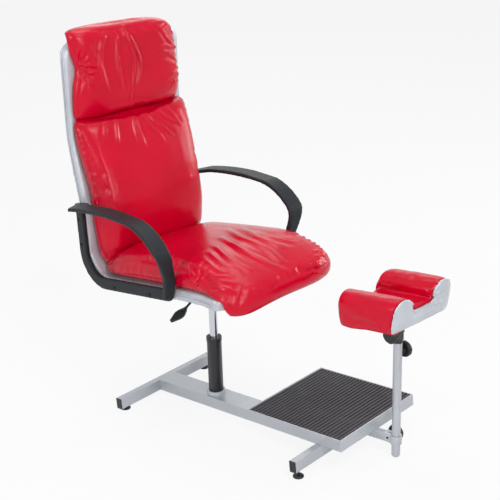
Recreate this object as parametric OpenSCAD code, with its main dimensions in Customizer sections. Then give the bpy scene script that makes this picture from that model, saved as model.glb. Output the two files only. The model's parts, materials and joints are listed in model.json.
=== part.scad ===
// Pedicure station: a padded armchair on a gas lift column, with a long steel base that carries
// a foot tray and a post with a saddle cushion for the client's leg.
// Floor at Z = 0, front towards -Y, the sitter's left towards +X.
// The origin is the middle of the floor plan. The column stands a little behind and beside it.

/* [Place of the column] */
// Column axis from the middle of the plan, sideways
column_x = -14.35; // [-60:0.05:60]
// Column axis from the middle of the plan, front to back
column_y = 143.45; // [100:0.05:200]
// Angle by which the seat is turned on the column
seat_turn = -6; // [-30:1:30]

/* [Base frame] */
// Width of the flat spine tube
spine_w = 76; // [60:1:90]
// Height of the spine tube and of the tray frame
spine_h = 39; // [30:1:50]
// Wall of the steel tubes
tube_t = 2; // [1.5:0.5:3]
// Height of the spine's underside at the column
spine_z = 28.3; // [26:0.1:34]
// Rise of the base frame towards the front, in degrees
base_slope = 4.41; // [4:0.01:4.8]
// Depth of both crossbars, front to back
bar_d = 25; // [20:1:30]
// Height of both crossbars
bar_h = 38; // [30:1:40]
// Length of both crossbars
bar_len = 439; // [400:1:480]
// Distance from the column to the front face of the rear crossbar
rear_bar_y = 242; // [220:1:260]
// Distance from the column to the front face of the front crossbar
front_bar_y = 497; // [480:1:520]
// Shift of the front crossbar towards the tray's middle
front_bar_shift = 55; // [40:1:60]
// Thickness of the plastic end caps
cap_t = 3; // [2:0.5:4]

/* [Foot tray] */
// Width of the tray frame
tray_w = 387; // [340:1:420]
// Length of the tray frame, front to back
tray_len = 394; // [360:1:420]
// Distance from the column to the tray's rear edge
tray_y = 181; // [160:1:200]
// Wall of the tray frame
tray_t = 5; // [4:0.5:6]
// Width of the ledge inside the tray frame
ledge_w = 20; // [12:1:30]
// Thickness of the ledge
ledge_t = 3; // [2:0.5:4]
// Thickness of the steel floor sheet
sheet_t = 2; // [1.5:0.5:3]
// Thickness of the rubber mat under its ribs
mat_t = 3; // [2:0.5:4]
// Height of the mat's ribs
rib_h = 3; // [2:0.5:4]
// Number of ribs on the mat
rib_count = 27; // [15:1:30]

/* [Levelling feet] */
// Diameter of a foot's disc
foot_d = 35; // [30:1:40]
// Thickness of a foot's disc
foot_t = 6; // [5:0.5:7]
// Diameter of the foot studs
foot_stud_d = 8; // [6:1:10]
// Distance of each foot from its crossbar's end
foot_inset = 25; // [20:1:40]
// Outside diameter of the threaded inserts
insert_d = 16; // [14:1:18]
// Depth of the threaded inserts
insert_h = 14; // [10:1:20]

/* [Column] */
// Outside diameter of the black outer tube
sleeve_d = 50; // [48:0.5:52]
// Wall of the outer tube
sleeve_t = 2.5; // [2:0.5:3]
// Height of the outer tube's lower end
sleeve_z = 33; // [32:0.5:36]
// Height of the outer tube's upper end
sleeve_top = 282; // [260:1:300]
// Diameter of the chrome cylinder
cylinder_d = 28; // [26:0.5:30]
// Wall of the chrome cylinder
cylinder_t = 2.5; // [2:0.5:3]
// Height of the cylinder's lower end with the seat raised
cylinder_z = 203; // [200:1:220]
// Height of the cylinder's upper end with the seat raised
cylinder_top = 474; // [465:1:478]
// Diameter of the piston rod
rod_d = 10; // [8:0.5:12]
// Outside diameter of the hub that is welded to the spine
hub_d = 62; // [58:1:70]
// Height of the hub's top edge
hub_top = 82; // [78:1:90]
// Depth of the plastic guide bush at the top of the outer tube
bush_h = 60; // [50:1:70]
// Gap of a running fit, per side
fit_gap = 0.05; // [0.02:0.01:0.1]
// Gap between pieces that pass one another
free_gap = 0.5; // [0.3:0.1:1]
// Diameter of the valve pin on top of the cylinder
pin_d = 8; // [6:0.5:9]
// Height by which the valve pin stands out of the cylinder
pin_rise = 6; // [4:0.5:8]

/* [Seat shell] */
// Width of the one-piece shell
shell_w = 460; // [430:1:480]
// Thickness of the padded shell
shell_t = 38; // [32:1:44]
// Thickness of the plywood inside
ply_t = 14; // [10:1:16]
// Padding behind the plywood
ply_back = 6; // [5:1:8]
// Front tip of the shell's middle line, distance from the column
tip_y = 335; // [320:1:360]
// Front tip of the shell's middle line, height
tip_z = 562; // [550:1:575]
// Rise of the shell at its front tip, in degrees
tip_heading = 2; // [0:0.5:4]
// Distance of the plywood's edge from the shell's edge
ply_inset = 10; // [8:1:14]
// Width of the piping along the shell's sides
piping_w = 6; // [4:0.5:8]
// Height of the piping over the shell's sides
piping_t = 1.6; // [1:0.1:2.5]
// Distance of the piping behind the shell's middle line
piping_back = 3; // [2:0.5:8]
// Distance of the piping's ends from the shell's ends
piping_end = 62; // [50:1:80]
// Depth by which the front edge curves back at its corners
front_bow = 42; // [30:1:60]
// Radius of the shell's rounded top corners
top_corner_r = 55; // [40:1:80]
// Length of the curved front of the seat
front_len = 196; // [180:1:220]
// Length of the straight part of the seat
seat_len = 410; // [390:1:430]
// Radius of the bend between seat and back, at the middle line
bend_r = 97; // [85:1:110]
// Length of the upright part above the bend
lumbar_len = 112; // [100:1:130]
// Length of the curve that leans the back
lean_in_len = 96; // [80:1:120]
// Length of the leaning part of the back
lean_len = 100; // [80:1:120]
// Length of the curve that straightens the back again
lean_out_len = 134; // [120:1:150]
// Length of the upright part behind the head
head_len = 258; // [240:1:290]

/* [Cushions] */
// Distance of the seat cushion's sides from the shell's sides
seat_margin = 2; // [1:0.5:20]
// Thickness of the seat cushion at its middle
seat_thick = 100; // [80:1:110]
// Distance of the back cushion's sides from the shell's sides
back_margin = 10; // [6:0.5:24]
// Thickness of the back cushion at its middle
back_thick = 112; // [80:1:120]
// Distance of the head cushion's sides from the shell's sides
head_margin = 22; // [8:0.5:36]
// Thickness of the head cushion at its middle
head_thick = 98; // [80:1:110]
// Gap between a cushion and the shell's face
rest_gap = 0.3; // [0.2:0.1:0.5]
// Room between the seat cushion's nose and the shell's front edge
nose_gap = 4; // [2:0.5:8]

/* [Armrests] */
// Width of the L-shaped bracket
bracket_w = 40; // [32:1:44]
// Thickness of the bracket
bracket_t = 16; // [12:1:20]
// Thickness of the arm pad at its rear tip
arm_tail_t = 12; // [10:1:14]
// Thickness of the arm at its foot
arm_foot_t = 18; // [14:1:22]
// Distance of the arm pad's outer edge from the shell's side
arm_reach = 80; // [70:1:90]
// Height of the arm's rear end
arm_tail_z = 711; // [700:1:722]
// Distance of the arm's rear end behind the column
arm_tail_y = 405; // [400:1:410]
// Radius of the arm pad's long curve
arm_top_r = 1318; // [1250:2:1400]
// Radius where the arm starts to fall
arm_bend_r = 200; // [190:1:210]
// Radius of the arm's front curve
arm_front_r = 45; // [40:1:50]
// Radius of the arm's leg
arm_leg_r = 600; // [560:5:640]
// Length of the straight foot of the arm
arm_foot_len = 52; // [40:1:60]
// Diameter of the armrest screws
arm_screw_d = 6; // [5:0.5:7]
// Diameter of the screws' round heads
arm_head_d = 11; // [10:0.5:13]
// Depth by which the screws' heads are sunk into the bracket
head_sink = 9; // [6:0.5:10]
// Length of the threaded inserts in the plywood
arm_insert_len = 12; // [10:0.5:14]
// Outside diameter of those inserts
arm_insert_d = 9; // [8:0.5:10]

/* [Mechanism] */
// Side of the square mounting plate
plate_w = 190; // [160:1:200]
// Thickness of the mounting plate
plate_t = 4; // [3:0.5:5]
// Width of the mechanism's box
box_w = 96; // [80:1:110]
// Wall of the mechanism's box
box_t = 3; // [2:0.5:4]
// Height of the mechanism's underside
box_z = 438; // [434:1:442]
// Outside diameter of the socket round the cylinder
socket_d = 44; // [40:1:48]
// Diameter of the lever rod
lever_d = 8; // [6:0.5:10]
// Length of the lever from the column to its paddle
lever_len = 190; // [170:1:200]
// Angle of the lever forward of square, in degrees
lever_angle = 22; // [10:1:26]
// Distance of the lever's pivot from the column
pivot_x = 30; // [24:1:34]
// Length of the paddle
paddle_len = 62; // [50:1:70]
// Width of the paddle
paddle_w = 38; // [30:1:44]
// Thickness of the paddle
paddle_t = 7; // [6:0.5:9]
// Droop of the paddle, in degrees
paddle_droop = 24; // [0:1:30]
// Diameter of the mounting bolts
bolt_d = 8; // [6:1:8]
// Distance between the mounting bolts
bolt_pitch = 150; // [130:1:165]
// Outside diameter of the tee nuts
t_nut_d = 14; // [11:0.5:16]
// Diameter of the lever's pivot pin
lever_pin_d = 5; // [4:0.5:6]
// Depth by which the lever falls to its paddle
lever_drop = 26; // [20:1:32]
// Distance from the lever's pivot to its elbow
elbow_x = 22; // [20:1:28]

/* [Leg rest post] */
// Sideways distance of the post from the column
post_x = 145; // [140:1:150]
// Forward distance of the post from the column
post_y = 650; // [645:1:655]
// Outside diameter of the post
post_d = 28; // [26:0.5:30]
// Wall of the post
post_t = 2; // [1.5:0.5:2.5]
// Height of the post's lower end
post_z = 10; // [9:1:12]
// Height of the post's upper end
post_top = 408; // [390:1:412]
// Side of the square support arm
arm_tube = 25; // [20:1:28]
// Height of the clamp round the post
clamp_h = 30; // [26:1:34]
// Outside diameter of the clamp
clamp_d = 37; // [36:0.5:38]
// Distance of the clamp screw behind the post's axis
clamp_screw_y = 25; // [24:0.5:26]
// Diameter of the sliding stem
stem_d = 20; // [18:0.5:20]
// Length of the stem inside the post
stem_len = 260; // [220:1:300]
// Diameter of the knobs
knob_d = 53; // [44:1:54]
// Thickness of a knob's round head
knob_t = 18; // [14:1:22]
// Diameter of the knob studs
stud_d = 8; // [6:0.5:8]
// Distance of the upper knob below the post's top
knob_drop = 36; // [32:1:40]
// Length of a knob's neck
neck_len = 12; // [8:1:16]
// Length of the plastic bush in the post's top
bush_len = 70; // [60:1:90]
// Depth of the plug's dome below the post
plug_depth = 5; // [3:0.5:8]
// Gap between the post's top and the knuckle
collar_gap = 1; // [0.5:0.1:2]
// Width of the knuckle
knuckle_w = 25; // [22:1:28]
// Thickness of the tilt bracket
ear_t = 4; // [3:0.5:5]
// Gap between the knuckle and each ear of the bracket
ear_gap = 0.4; // [0.3:0.1:0.6]
// Thickness of the tilt nut
nut_t = 7; // [5:0.5:8]

/* [Leg cushion] */
// Height of the tilt axis
tilt_z = 445; // [440:1:450]
// Angle by which the cushion's outer end is raised
pad_pitch = 7; // [0:0.5:20]
// Half of the cushion's width
pad_half = 134; // [120:1:140]
// Length of the cushion's red middle part at its base
pad_len = 187; // [160:1:200]
// Distance from the tilt axis to the front end of the red middle part
pad_front = 76; // [60:1:90]
// Height of the ridge on the left
pad_h = 114; // [100:1:125]
// Height of the ridge on the right
low_h = 104; // [95:1:120]
// Height of the valley between the ridges
valley_h = 54; // [45:1:65]
// Radius of the ridges
ridge_r = 42; // [36:1:44]
// Height of the cushion's base over the tilt axis
pad_lift = 46; // [44:1:50]
// Thickness of the cushion board
board_t = 9; // [8:0.5:12]
// Depth of the padded front panel
panel_t = 16; // [10:1:30]
// Depth by which the cushion's rear end runs back towards the right
rear_skew = 20; // [0:1:30]
// Depth by which its front end runs back towards the right
front_skew = 12; // [0:1:20]
// Depth of the padded rear panel
rear_panel_t = 16; // [10:1:20]
// Width of the board under the cushion
board_w = 214; // [180:1:240]
// Length of that board
board_len = 132; // [110:1:150]
// Diameter of the board's screws
board_screw_d = 5; // [4:0.5:6]

/* [Hidden] */
$fn = 64;

steel = "#b4b8c1";
black = "#26272b";
red = "#c8102e";
silver = "#bec3cb";
chrome = "#d8dbe0";

// Places that follow from the sizes above
sleeve_inner = sleeve_d - 2 * sleeve_t;
cylinder_inner = cylinder_d - 2 * cylinder_t;
post_inner = post_d - 2 * post_t;
bore_gap = 2 * fit_gap;
clamp_reach = clamp_screw_y + 2 * stud_d;
rear_feet_x = bar_len / 2 - foot_inset;
front_feet_x = [front_bar_shift - rear_feet_x, front_bar_shift + rear_feet_x];
rear_feet_y = rear_bar_y + bar_d / 2;
front_feet_y = -front_bar_y + bar_d / 2;
tray_left = -spine_w / 2;

module placed() translate([column_x, column_y, 0]) children();
module on_base() placed() translate([0, 0, spine_z]) rotate([-base_slope, 0, 0]) children();
module on_seat() placed() rotate([0, 0, seat_turn]) children();
module at_post(z) placed() translate([post_x, -post_y, z]) children();
module on_pad() at_post(tilt_z) rotate([-pad_pitch, 0, 0]) children();

// Height of the base frame's underside at a distance y from the column
function frame_z(y) = spine_z - y * tan(base_slope);

module tube_box(size, wall) difference() {
    cube(size);
    translate([-size[0], wall, wall]) cube([3 * size[0], size[1] - 2 * wall, size[2] - 2 * wall]);
}

module ring(outer, inner, height) difference() {
    cylinder(d = outer, h = height);
    translate([0, 0, -height]) cylinder(d = inner, h = 3 * height);
}

// The two crossbars lie across the base; feet and post arm hang on them
module crossbar(x, y, z, feet_y) difference() {
    on_base() translate([x, y, z]) tube_box([bar_len, bar_d, bar_h], tube_t);
    placed() for (side = [-1, 1]) {
        translate([x + bar_len / 2 + side * rear_feet_x, feet_y, 0])
            cylinder(d = foot_stud_d + free_gap, h = frame_z(y) + z + bar_h / 2);
    }
}

module rear_crossbar() color(steel) crossbar(-bar_len / 2, rear_bar_y, 0, rear_feet_y);

module front_crossbar() color(steel)
    crossbar(front_bar_shift - bar_len / 2, -front_bar_y, -bar_h, front_feet_y);

module end_cap(side) translate([side < 0 ? -cap_t : 0, 0, 0]) {
    cube([cap_t, bar_d, bar_h]);
    translate([side < 0 ? cap_t : -4 * cap_t, tube_t, tube_t])
        cube([4 * cap_t, bar_d - 2 * tube_t, bar_h - 2 * tube_t]);
}

module crossbar_caps() color(black) on_base() for (side = [-1, 1]) {
    translate([side * bar_len / 2, rear_bar_y, 0]) end_cap(side);
    translate([front_bar_shift + side * bar_len / 2, -front_bar_y, -bar_h]) end_cap(side);
}

module spine_tube() color(steel) difference() {
    on_base() translate([-spine_w / 2, -tray_y, 0]) difference() {
        cube([spine_w, tray_y + rear_bar_y, spine_h]);
        translate([tube_t, -spine_h, tube_t])
            cube([spine_w - 2 * tube_t, tray_y + rear_bar_y + 2 * spine_h, spine_h - 2 * tube_t]);
    }
    placed() translate([0, 0, sleeve_z - free_gap]) cylinder(d = hub_d, h = hub_top);
}

// Rectangular frame with a ledge on which the floor sheet lies
module tray_frame() color(steel) on_base() translate([tray_left, -tray_y - tray_len, 0]) difference() {
    cube([tray_w, tray_len, spine_h]);
    translate([tray_t, tray_t, ledge_top]) cube([tray_w - 2 * tray_t, tray_len - 2 * tray_t, spine_h]);
    translate([tray_t, tray_t, -spine_h])
        cube([tray_w - 2 * tray_t, tray_len - 2 * tray_t, spine_h + ledge_top - ledge_t]);
    translate([tray_t + ledge_w, tray_t + ledge_w, -spine_h])
        cube([tray_w - 2 * tray_t - 2 * ledge_w, tray_len - 2 * tray_t - 2 * ledge_w, 3 * spine_h]);
}
ledge_top = spine_h - rib_h - mat_t - sheet_t;

module tray_slab(z, height, inset)
    translate([tray_left + tray_t + inset, -tray_y - tray_len + tray_t + inset, z])
    cube([tray_w - 2 * tray_t - 2 * inset, tray_len - 2 * tray_t - 2 * inset, height]);

module tray_sheet() color(steel) on_base() tray_slab(ledge_top, sheet_t, fit_gap);

module ribbed_mat() color(black) on_base() {
    pitch = (tray_len - 2 * tray_t - 2 * fit_gap) / rib_count;
    rib_share = 0.55;
    tray_slab(ledge_top + sheet_t, mat_t, fit_gap);
    translate([tray_left + tray_t + fit_gap, tray_t + fit_gap - tray_y - tray_len, 0])
        translate([0, 0, ledge_top + sheet_t + mat_t])
        for (i = [0:rib_count - 1]) translate([0, (i + (1 - rib_share) / 2) * pitch, 0])
            cube([tray_w - 2 * tray_t - 2 * fit_gap, rib_share * pitch, rib_h]);
}

// Feet: a disc on the floor, a hexagon to turn it by and a stud in the crossbar
module foot(x, y, z) color(black) placed() translate([x, y, 0]) {
    cone_share = 0.6;
    cylinder(d = foot_d, h = foot_t * cone_share);
    translate([0, 0, foot_t * cone_share])
        cylinder(d1 = foot_d, d2 = foot_d - foot_t, h = foot_t * (1 - cone_share));
    cylinder(d = foot_stud_d, h = z + insert_h);
}

module foot_rear_right() foot(-rear_feet_x, rear_feet_y, frame_z(rear_feet_y));
module foot_rear_left() foot(rear_feet_x, rear_feet_y, frame_z(rear_feet_y));
module foot_front_right() foot(front_feet_x[0], front_feet_y, frame_z(front_feet_y) - bar_h);
module foot_front_left() foot(front_feet_x[1], front_feet_y, frame_z(front_feet_y) - bar_h);

module foot_insert(x, y, z) translate([x, y, z + tube_t + tan(base_slope) * insert_d / 2])
    ring(insert_d, foot_stud_d + bore_gap, insert_h);

module foot_inserts() color(chrome) placed() {
    for (side = [-1, 1]) foot_insert(side * rear_feet_x, rear_feet_y, frame_z(rear_feet_y));
    for (x = front_feet_x) foot_insert(x, front_feet_y, frame_z(front_feet_y) - bar_h);
}

// Arm from the front crossbar to the clamp that holds the post
module support_arm() color(steel) difference() {
    on_base() translate([post_x - arm_tube / 2, -post_y, -arm_tube]) difference() {
        cube([arm_tube, post_y - front_bar_y, arm_tube]);
        translate([tube_t, -arm_tube, tube_t])
            cube([arm_tube - 2 * tube_t, post_y, arm_tube - 2 * tube_t]);
    }
    at_post(0) translate([-arm_tube, -arm_tube, 0])
        cube([2 * arm_tube, arm_tube + clamp_reach, clamp_z + 3 * clamp_h]);
}
clamp_z = frame_z(-post_y) - (clamp_h + arm_tube) / 2;

module post_clamp() color(steel) at_post(clamp_z) difference() {
    union() {
        cylinder(d = clamp_d, h = clamp_h);
        translate([-arm_tube / 2, 0, 0]) cube([arm_tube, clamp_reach, clamp_h]);
    }
    translate([0, 0, -clamp_h]) cylinder(d = post_d + bore_gap, h = 3 * clamp_h);
    translate([-tube_t, 0, -clamp_h]) cube([2 * tube_t, clamp_screw_y + stud_d, 3 * clamp_h]);
    translate([-clamp_d, clamp_screw_y, clamp_h / 2]) rotate([0, 90, 0])
        cylinder(d = stud_d + bore_gap, h = 2 * clamp_d);
}

// Column: hub, outer tube with its guide bush, cylinder and piston rod
module column_hub() color(steel) placed() translate([0, 0, sleeve_z])
    ring(hub_d, sleeve_d, hub_top - sleeve_z);

module outer_tube() color(black) placed() difference() {
    union() {
        translate([0, 0, sleeve_z]) cylinder(d = sleeve_d, h = sleeve_top - sleeve_z);
        translate([0, 0, sleeve_top - collar_h]) cylinder(d = sleeve_d + sleeve_t, h = collar_h);
    }
    translate([0, 0, sleeve_z + floor_h]) cylinder(d = sleeve_inner, h = sleeve_top);
    cylinder(d = rod_d + sleeve_t, h = sleeve_top);
}
collar_h = 6 * sleeve_t;
floor_h = 2 * sleeve_t;

module guide_bush() color(black) placed() translate([0, 0, sleeve_top - bush_h])
    ring(sleeve_inner, cylinder_d + bore_gap, bush_h);

module thrust_bearing() color(chrome) placed() translate([0, 0, sleeve_z + floor_h])
    ring(sleeve_inner - 2 * sleeve_t, rod_d + bore_gap, floor_h);

module piston_rod() color(chrome) placed() {
    translate([0, 0, sleeve_z - rod_tail]) cylinder(d = rod_d, h = piston_z + piston_h - sleeve_z + rod_tail);
    translate([0, 0, sleeve_z + 2 * floor_h]) cylinder(d = 2 * rod_d, h = floor_h);
    translate([0, 0, piston_z]) cylinder(d = cylinder_inner - bore_gap, h = piston_h);
}
rod_tail = sleeve_t / 2;
piston_h = 2 * rod_d;
gland_h = 2 * rod_d;
piston_z = cylinder_z + gland_h + free_gap;

// Spring clip in the floor of the outer tube that keeps the rod from pulling out
module rod_clip() color(chrome) placed() translate([0, 0, sleeve_z + free_gap])
    ring(rod_d + sleeve_t - bore_gap, rod_d, floor_h - 2 * free_gap);

module gas_cylinder() color(chrome) placed() difference() {
    translate([0, 0, cylinder_z]) cylinder(d = cylinder_d, h = cylinder_top - cylinder_z);
    cylinder(d = rod_d + bore_gap, h = cylinder_z + gland_h + free_gap);
    translate([0, 0, cylinder_z + gland_h])
        cylinder(d = cylinder_inner, h = cylinder_top - cylinder_z - 2 * gland_h);
    translate([0, 0, cylinder_z + gland_h]) cylinder(d = pin_d + bore_gap, h = cylinder_top);
}

module valve_pin() color(chrome) placed() translate([0, 0, cylinder_top - gland_h])
    cylinder(d = pin_d, h = gland_h + pin_rise);

// Shell path: pieces of [length, turn in degrees] from the front tip to the top edge
path_segments = [[front_len, -13], [seat_len, 0], [bend_r * 99 * PI / 180, 99], [lumbar_len, 0],
    [lean_in_len, -11], [lean_len, 0], [lean_out_len, 14], [head_len, 0]];
path_start = [-tip_y, tip_z, tip_heading];

// Place and heading after moving a length along one piece of the path
function along(p, length, turn) =
    turn == 0 ? [p[0] + length * cos(p[2]), p[1] + length * sin(p[2]), p[2]]
    : let (r = length / (turn * PI / 180), h = p[2] + turn)
        [p[0] + r * (sin(h) - sin(p[2])), p[1] + r * (cos(p[2]) - cos(h)), h];
function path_at(s, p = path_start, i = 0) =
    let (seg = path_segments[i])
    s <= seg[0] || i == len(path_segments) - 1 ?
        (s < 0 || s > seg[0] ? along(i == 0 ? p : along(p, seg[0], seg[1]), i == 0 ? s : s - seg[0], 0)
            : along(p, s, seg[1] * s / seg[0]))
    : path_at(s - seg[0], along(p, seg[0], seg[1]), i + 1);
function path_sum(i) = i < 0 ? 0 : path_segments[i][0] + path_sum(i - 1);
path_len = path_sum(len(path_segments) - 1);
// Lengths along the path at which the band's outline has a corner
function stations(from, to) = [from, for (i = [0:len(path_segments) - 1])
    let (s0 = path_sum(i - 1), n = path_segments[i][1] == 0 ? 1 : ceil(abs(path_segments[i][1]) / 5) + 1)
        for (k = [1:n]) let (s = s0 + path_segments[i][0] * k / n) if (s > from && s < to) s, to];
// Point at a length s along the path and a distance n off it, towards the sitter
function off(s, n) = let (p = path_at(s)) [p[0] - n * sin(p[2]), p[1] + n * cos(p[2])];
function reversed(list) = [for (i = [len(list) - 1:-1:0]) list[i]];

module path_band(from, to, low, high) polygon(concat([for (s = stations(from, to)) off(s, low)],
    [for (s = reversed(stations(from, to))) off(s, high)]));

// Sets a side outline upright in the YZ plane and gives it a width along X
module across(x, width) translate([x, 0, 0]) rotate([90, 0, 90]) linear_extrude(width) children();

module band(half, inset, low, high) across(-half, 2 * half) path_band(inset, path_len - inset, low, high);

// Share of the bow at a share u of the half width
function bow(u) = 0.3 * pow(u, 2) + 0.7 * pow(u, 6);
bow_steps = 12;

// Curves the shell's front edge in plan and rounds its top corners seen from the front
module shell_rounding(inset) {
    half = shell_w / 2 - inset;
    split_z = path_at(path_sum(3))[1];
    top_z = path_at(path_len)[1] - inset;
    r_top = top_corner_r - inset;
    linear_extrude(split_z) polygon(concat([[half, shell_w + tip_y], [-half, shell_w + tip_y]],
        [for (i = [-bow_steps:bow_steps])
            [half * i / bow_steps, inset - tip_y + front_bow * bow(abs(i) / bow_steps)]]));
    translate([0, shell_w + tip_y, 0]) rotate([90, 0, 0]) linear_extrude(2 * (shell_w + tip_y)) union() {
        translate([-half, split_z - inset]) square([2 * half, top_z - split_z - r_top + inset]);
        translate([r_top - half, split_z]) square([2 * (half - r_top), top_z - split_z]);
        for (side = [-1, 1]) translate([side * (half - r_top), top_z - r_top]) circle(r_top);
    }
}
ply_low = -shell_t / 2 + ply_back;
ply_high = ply_low + ply_t;
screw_n = ply_low + ply_t / 2;

module shell_plywood() color("#c9a26a") on_seat() difference() {
    intersection() {
        band(shell_w / 2 - ply_inset, ply_inset, ply_low, ply_high);
        shell_rounding(ply_inset);
    }
    insert_places() cylinder(d = arm_insert_d, h = 3 * arm_insert_len, center = true);
    bolt_places() cylinder(d = t_nut_d, h = 4 * shell_t, center = true);
}

module shell_cover() color(silver) on_seat() difference() {
    intersection() {
        band(shell_w / 2, 0, -shell_t / 2, shell_t / 2);
        shell_rounding(0);
    }
    intersection() {
        band(shell_w / 2 - ply_inset, ply_inset, ply_low, ply_high);
        shell_rounding(ply_inset);
    }
    insert_places() cylinder(d = arm_insert_d, h = 3 * arm_insert_len, center = true);
    bolt_places() translate([0, 0, -shell_t]) cylinder(d = t_nut_d, h = shell_t + ply_back + ply_t / 2);
}

// Thin piping along both side edges of the shell
piping_n = -piping_back;
module piping_band(gap) path_band(piping_end - gap, path_len - piping_end + gap,
    piping_n - piping_w / 2 - gap, piping_n + piping_w / 2 + gap);

module edge_piping() color(silver) on_seat() difference() {
    for (side = [-1, 1]) across(side < 0 ? -shell_w / 2 - piping_t : shell_w / 2, piping_t) piping_band(0);
    insert_places() cylinder(d = arm_screw_d + free_gap, h = 3 * bracket_t, center = true);
}

// A cushion is a row of rungs. A rung stands on the shell's face and ends on the cushion's crown.
// Each row holds the place along the path, the foot's height over the shell's face, the tilt
// towards the front in degrees, the rung's length, half of the cushion's width there, the share of
// it by which the stuffing sits to the left, and the rise of the row towards its right end.
function sign_pow(v, e) = v < 0 ? -pow(-v, e) : pow(v, e);
function reach_share(v) = v > 0 ? waist_share + (1 - waist_share) * pow(v, crown_share)
    : waist_share * (1 - pow(-v, base_share));
function rung_ring(row, count) = [for (j = [0:count - 1])
    let (a = 360 * (j + 0.5) / count, v = sin(a), reach = row[3] * reach_share(v),
        u = (v < 0 ? 1 + draw_share * v : 1) * sign_pow(cos(a), side_share), x = row[4] * (u + row[5]),
        s = row[0] + front_bow * bow(min(2 * abs(x) / shell_w, 1)) * fade(row[0]) + row[6] * max(-u, 0),
        h = path_at(s)[2] + row[2], foot = off(s, row[1]))
    [x, foot[0] - reach * sin(h), foot[1] + reach * cos(h)]];
// The bow fades out along the seat
function fade(s) = let (t = min(max(s / front_len, 0), 1)) pow(1 - t, 2) * (1 + 2 * t);
waist_share = 0.22;
crown_share = 0.7;
base_share = 0.35;
side_share = 0.52;
draw_share = 0.05;
// Smooth curve through the rows
function between(a, b, c, d, t) =
    b + 0.5 * t * (c - a + t * (2 * a - 5 * b + 4 * c - d + t * (3 * (b - c) + d - a)));
function smooth_rows(rows, steps) = let (last = len(rows) - 1)
    [for (i = [0:last - 1]) for (k = [0:steps - (i == last - 1 ? 0 : 1)]) [for (c = [0:len(rows[0]) - 1])
        between(rows[max(i - 1, 0)][c], rows[i][c], rows[i + 1][c], rows[min(i + 2, last)][c], k / steps)]];

// Closed solid through rings of equal length. A hollowed end is closed by two faces that meet in
// the line from ring point `split` to the last one.
module loft(rings, split = 0) {
    n = len(rings);
    m = len(rings[0]);
    cap = split == 0 ? [[for (j = [0:m - 1]) j]] :
        [concat([for (j = [0:split]) j], [m - 1]), [for (j = [split:m - 1]) j]];
    faces = concat([for (f = cap) reversed(f)],
        [for (f = cap) [for (j = [1:len(f)]) (n - 1) * m + f[j % len(f)]]],
        [for (i = [0:n - 2]) for (j = [0:m - 1]) let (k = (j + 1) % m)
            [i * m + j, i * m + k, (i + 1) * m + k]],
        [for (i = [0:n - 2]) for (j = [0:m - 1]) let (k = (j + 1) % m)
            [i * m + j, (i + 1) * m + k, (i + 1) * m + j]]);
    polyhedron(points = [for (r = rings) each r], faces = [for (f = faces) reversed(f)], convexity = 4);
}
ring_points = 28;
seat_half = shell_w / 2 - seat_margin;
back_half = shell_w / 2 - back_margin;
head_half = shell_w / 2 - head_margin;
face_n = shell_t / 2 + rest_gap;
bend_s = front_len + seat_len;
bend_end = path_sum(2);

module padded(rows) color(red) on_seat()
    loft([for (row = smooth_rows(rows, 2)) rung_ring(concat(row, [0, 0]), ring_points)]);

// The seat cushion wraps round the shell's front edge and ends in the crease before the back
module seat_cushion() padded([
    [-nose_gap - 0.11 * shell_t, -0.55 * shell_t, 80, 0.14 * seat_thick, 0.88 * seat_half],
    [-nose_gap - 0.09 * shell_t, -0.45 * shell_t, 66, 0.34 * seat_thick, 0.94 * seat_half],
    [-nose_gap - 0.08 * shell_t, -0.2 * shell_t, 50, 0.5 * seat_thick, 0.98 * seat_half],
    [-nose_gap - 0.06 * shell_t, 0.2 * shell_t, 38, 0.55 * seat_thick, seat_half],
    [-0.6 * nose_gap, face_n + rest_gap, 22, 0.49 * seat_thick, seat_half],
    [0.16 * front_len, face_n, 8, 0.65 * seat_thick, seat_half],
    [0.36 * front_len, face_n, 0, 0.82 * seat_thick, 0.98 * seat_half],
    [0.64 * front_len, face_n, 0, 0.95 * seat_thick, 0.98 * seat_half],
    [front_len, face_n, 0, seat_thick, seat_half],
    [front_len + 0.45 * seat_len, face_n, 0, 0.98 * seat_thick, 0.99 * seat_half],
    [front_len + 0.78 * seat_len, face_n, 0, 0.93 * seat_thick, seat_half],
    [front_len + 0.9 * seat_len, face_n, 8, 0.83 * seat_thick, 0.98 * seat_half],
    [bend_s + 0.2 * bend_r, face_n, 24, 0.74 * seat_thick, 0.93 * seat_half],
    [bend_s + 0.74 * bend_r, face_n, 21, 0.88 * seat_thick, 0.86 * seat_half]]);

module back_cushion() padded([
    [bend_s + 0.93 * bend_r, face_n, 19, 0.7 * back_thick, 0.84 * back_half],
    [bend_s + 1.24 * bend_r, face_n, 8, 0.93 * back_thick, 0.89 * back_half],
    [bend_end, face_n, -10, 1.09 * back_thick, 0.93 * back_half],
    [bend_end + 0.45 * lumbar_len, face_n, -9, 1.13 * back_thick, 0.95 * back_half],
    [bend_end + lumbar_len, face_n + rest_gap, 0, 1.14 * back_thick, 0.96 * back_half],
    [bend_end + 1.9 * lumbar_len, face_n + rest_gap, 0, 1.08 * back_thick, 0.96 * back_half],
    [path_sum(5), face_n, 0, 0.92 * back_thick, back_half],
    [path_sum(5) + 0.42 * lean_out_len, face_n, 0, 0.78 * back_thick, 1.02 * back_half],
    [path_sum(5) + 0.76 * lean_out_len, face_n, 0, 0.62 * back_thick, 1.02 * back_half],
    [path_sum(5) + 0.93 * lean_out_len, face_n, 0, 0.44 * back_thick, 1.0 * back_half],
    [path_sum(6) - rest_gap, face_n, 0, 0.26 * back_thick, 0.95 * back_half]]);

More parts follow.
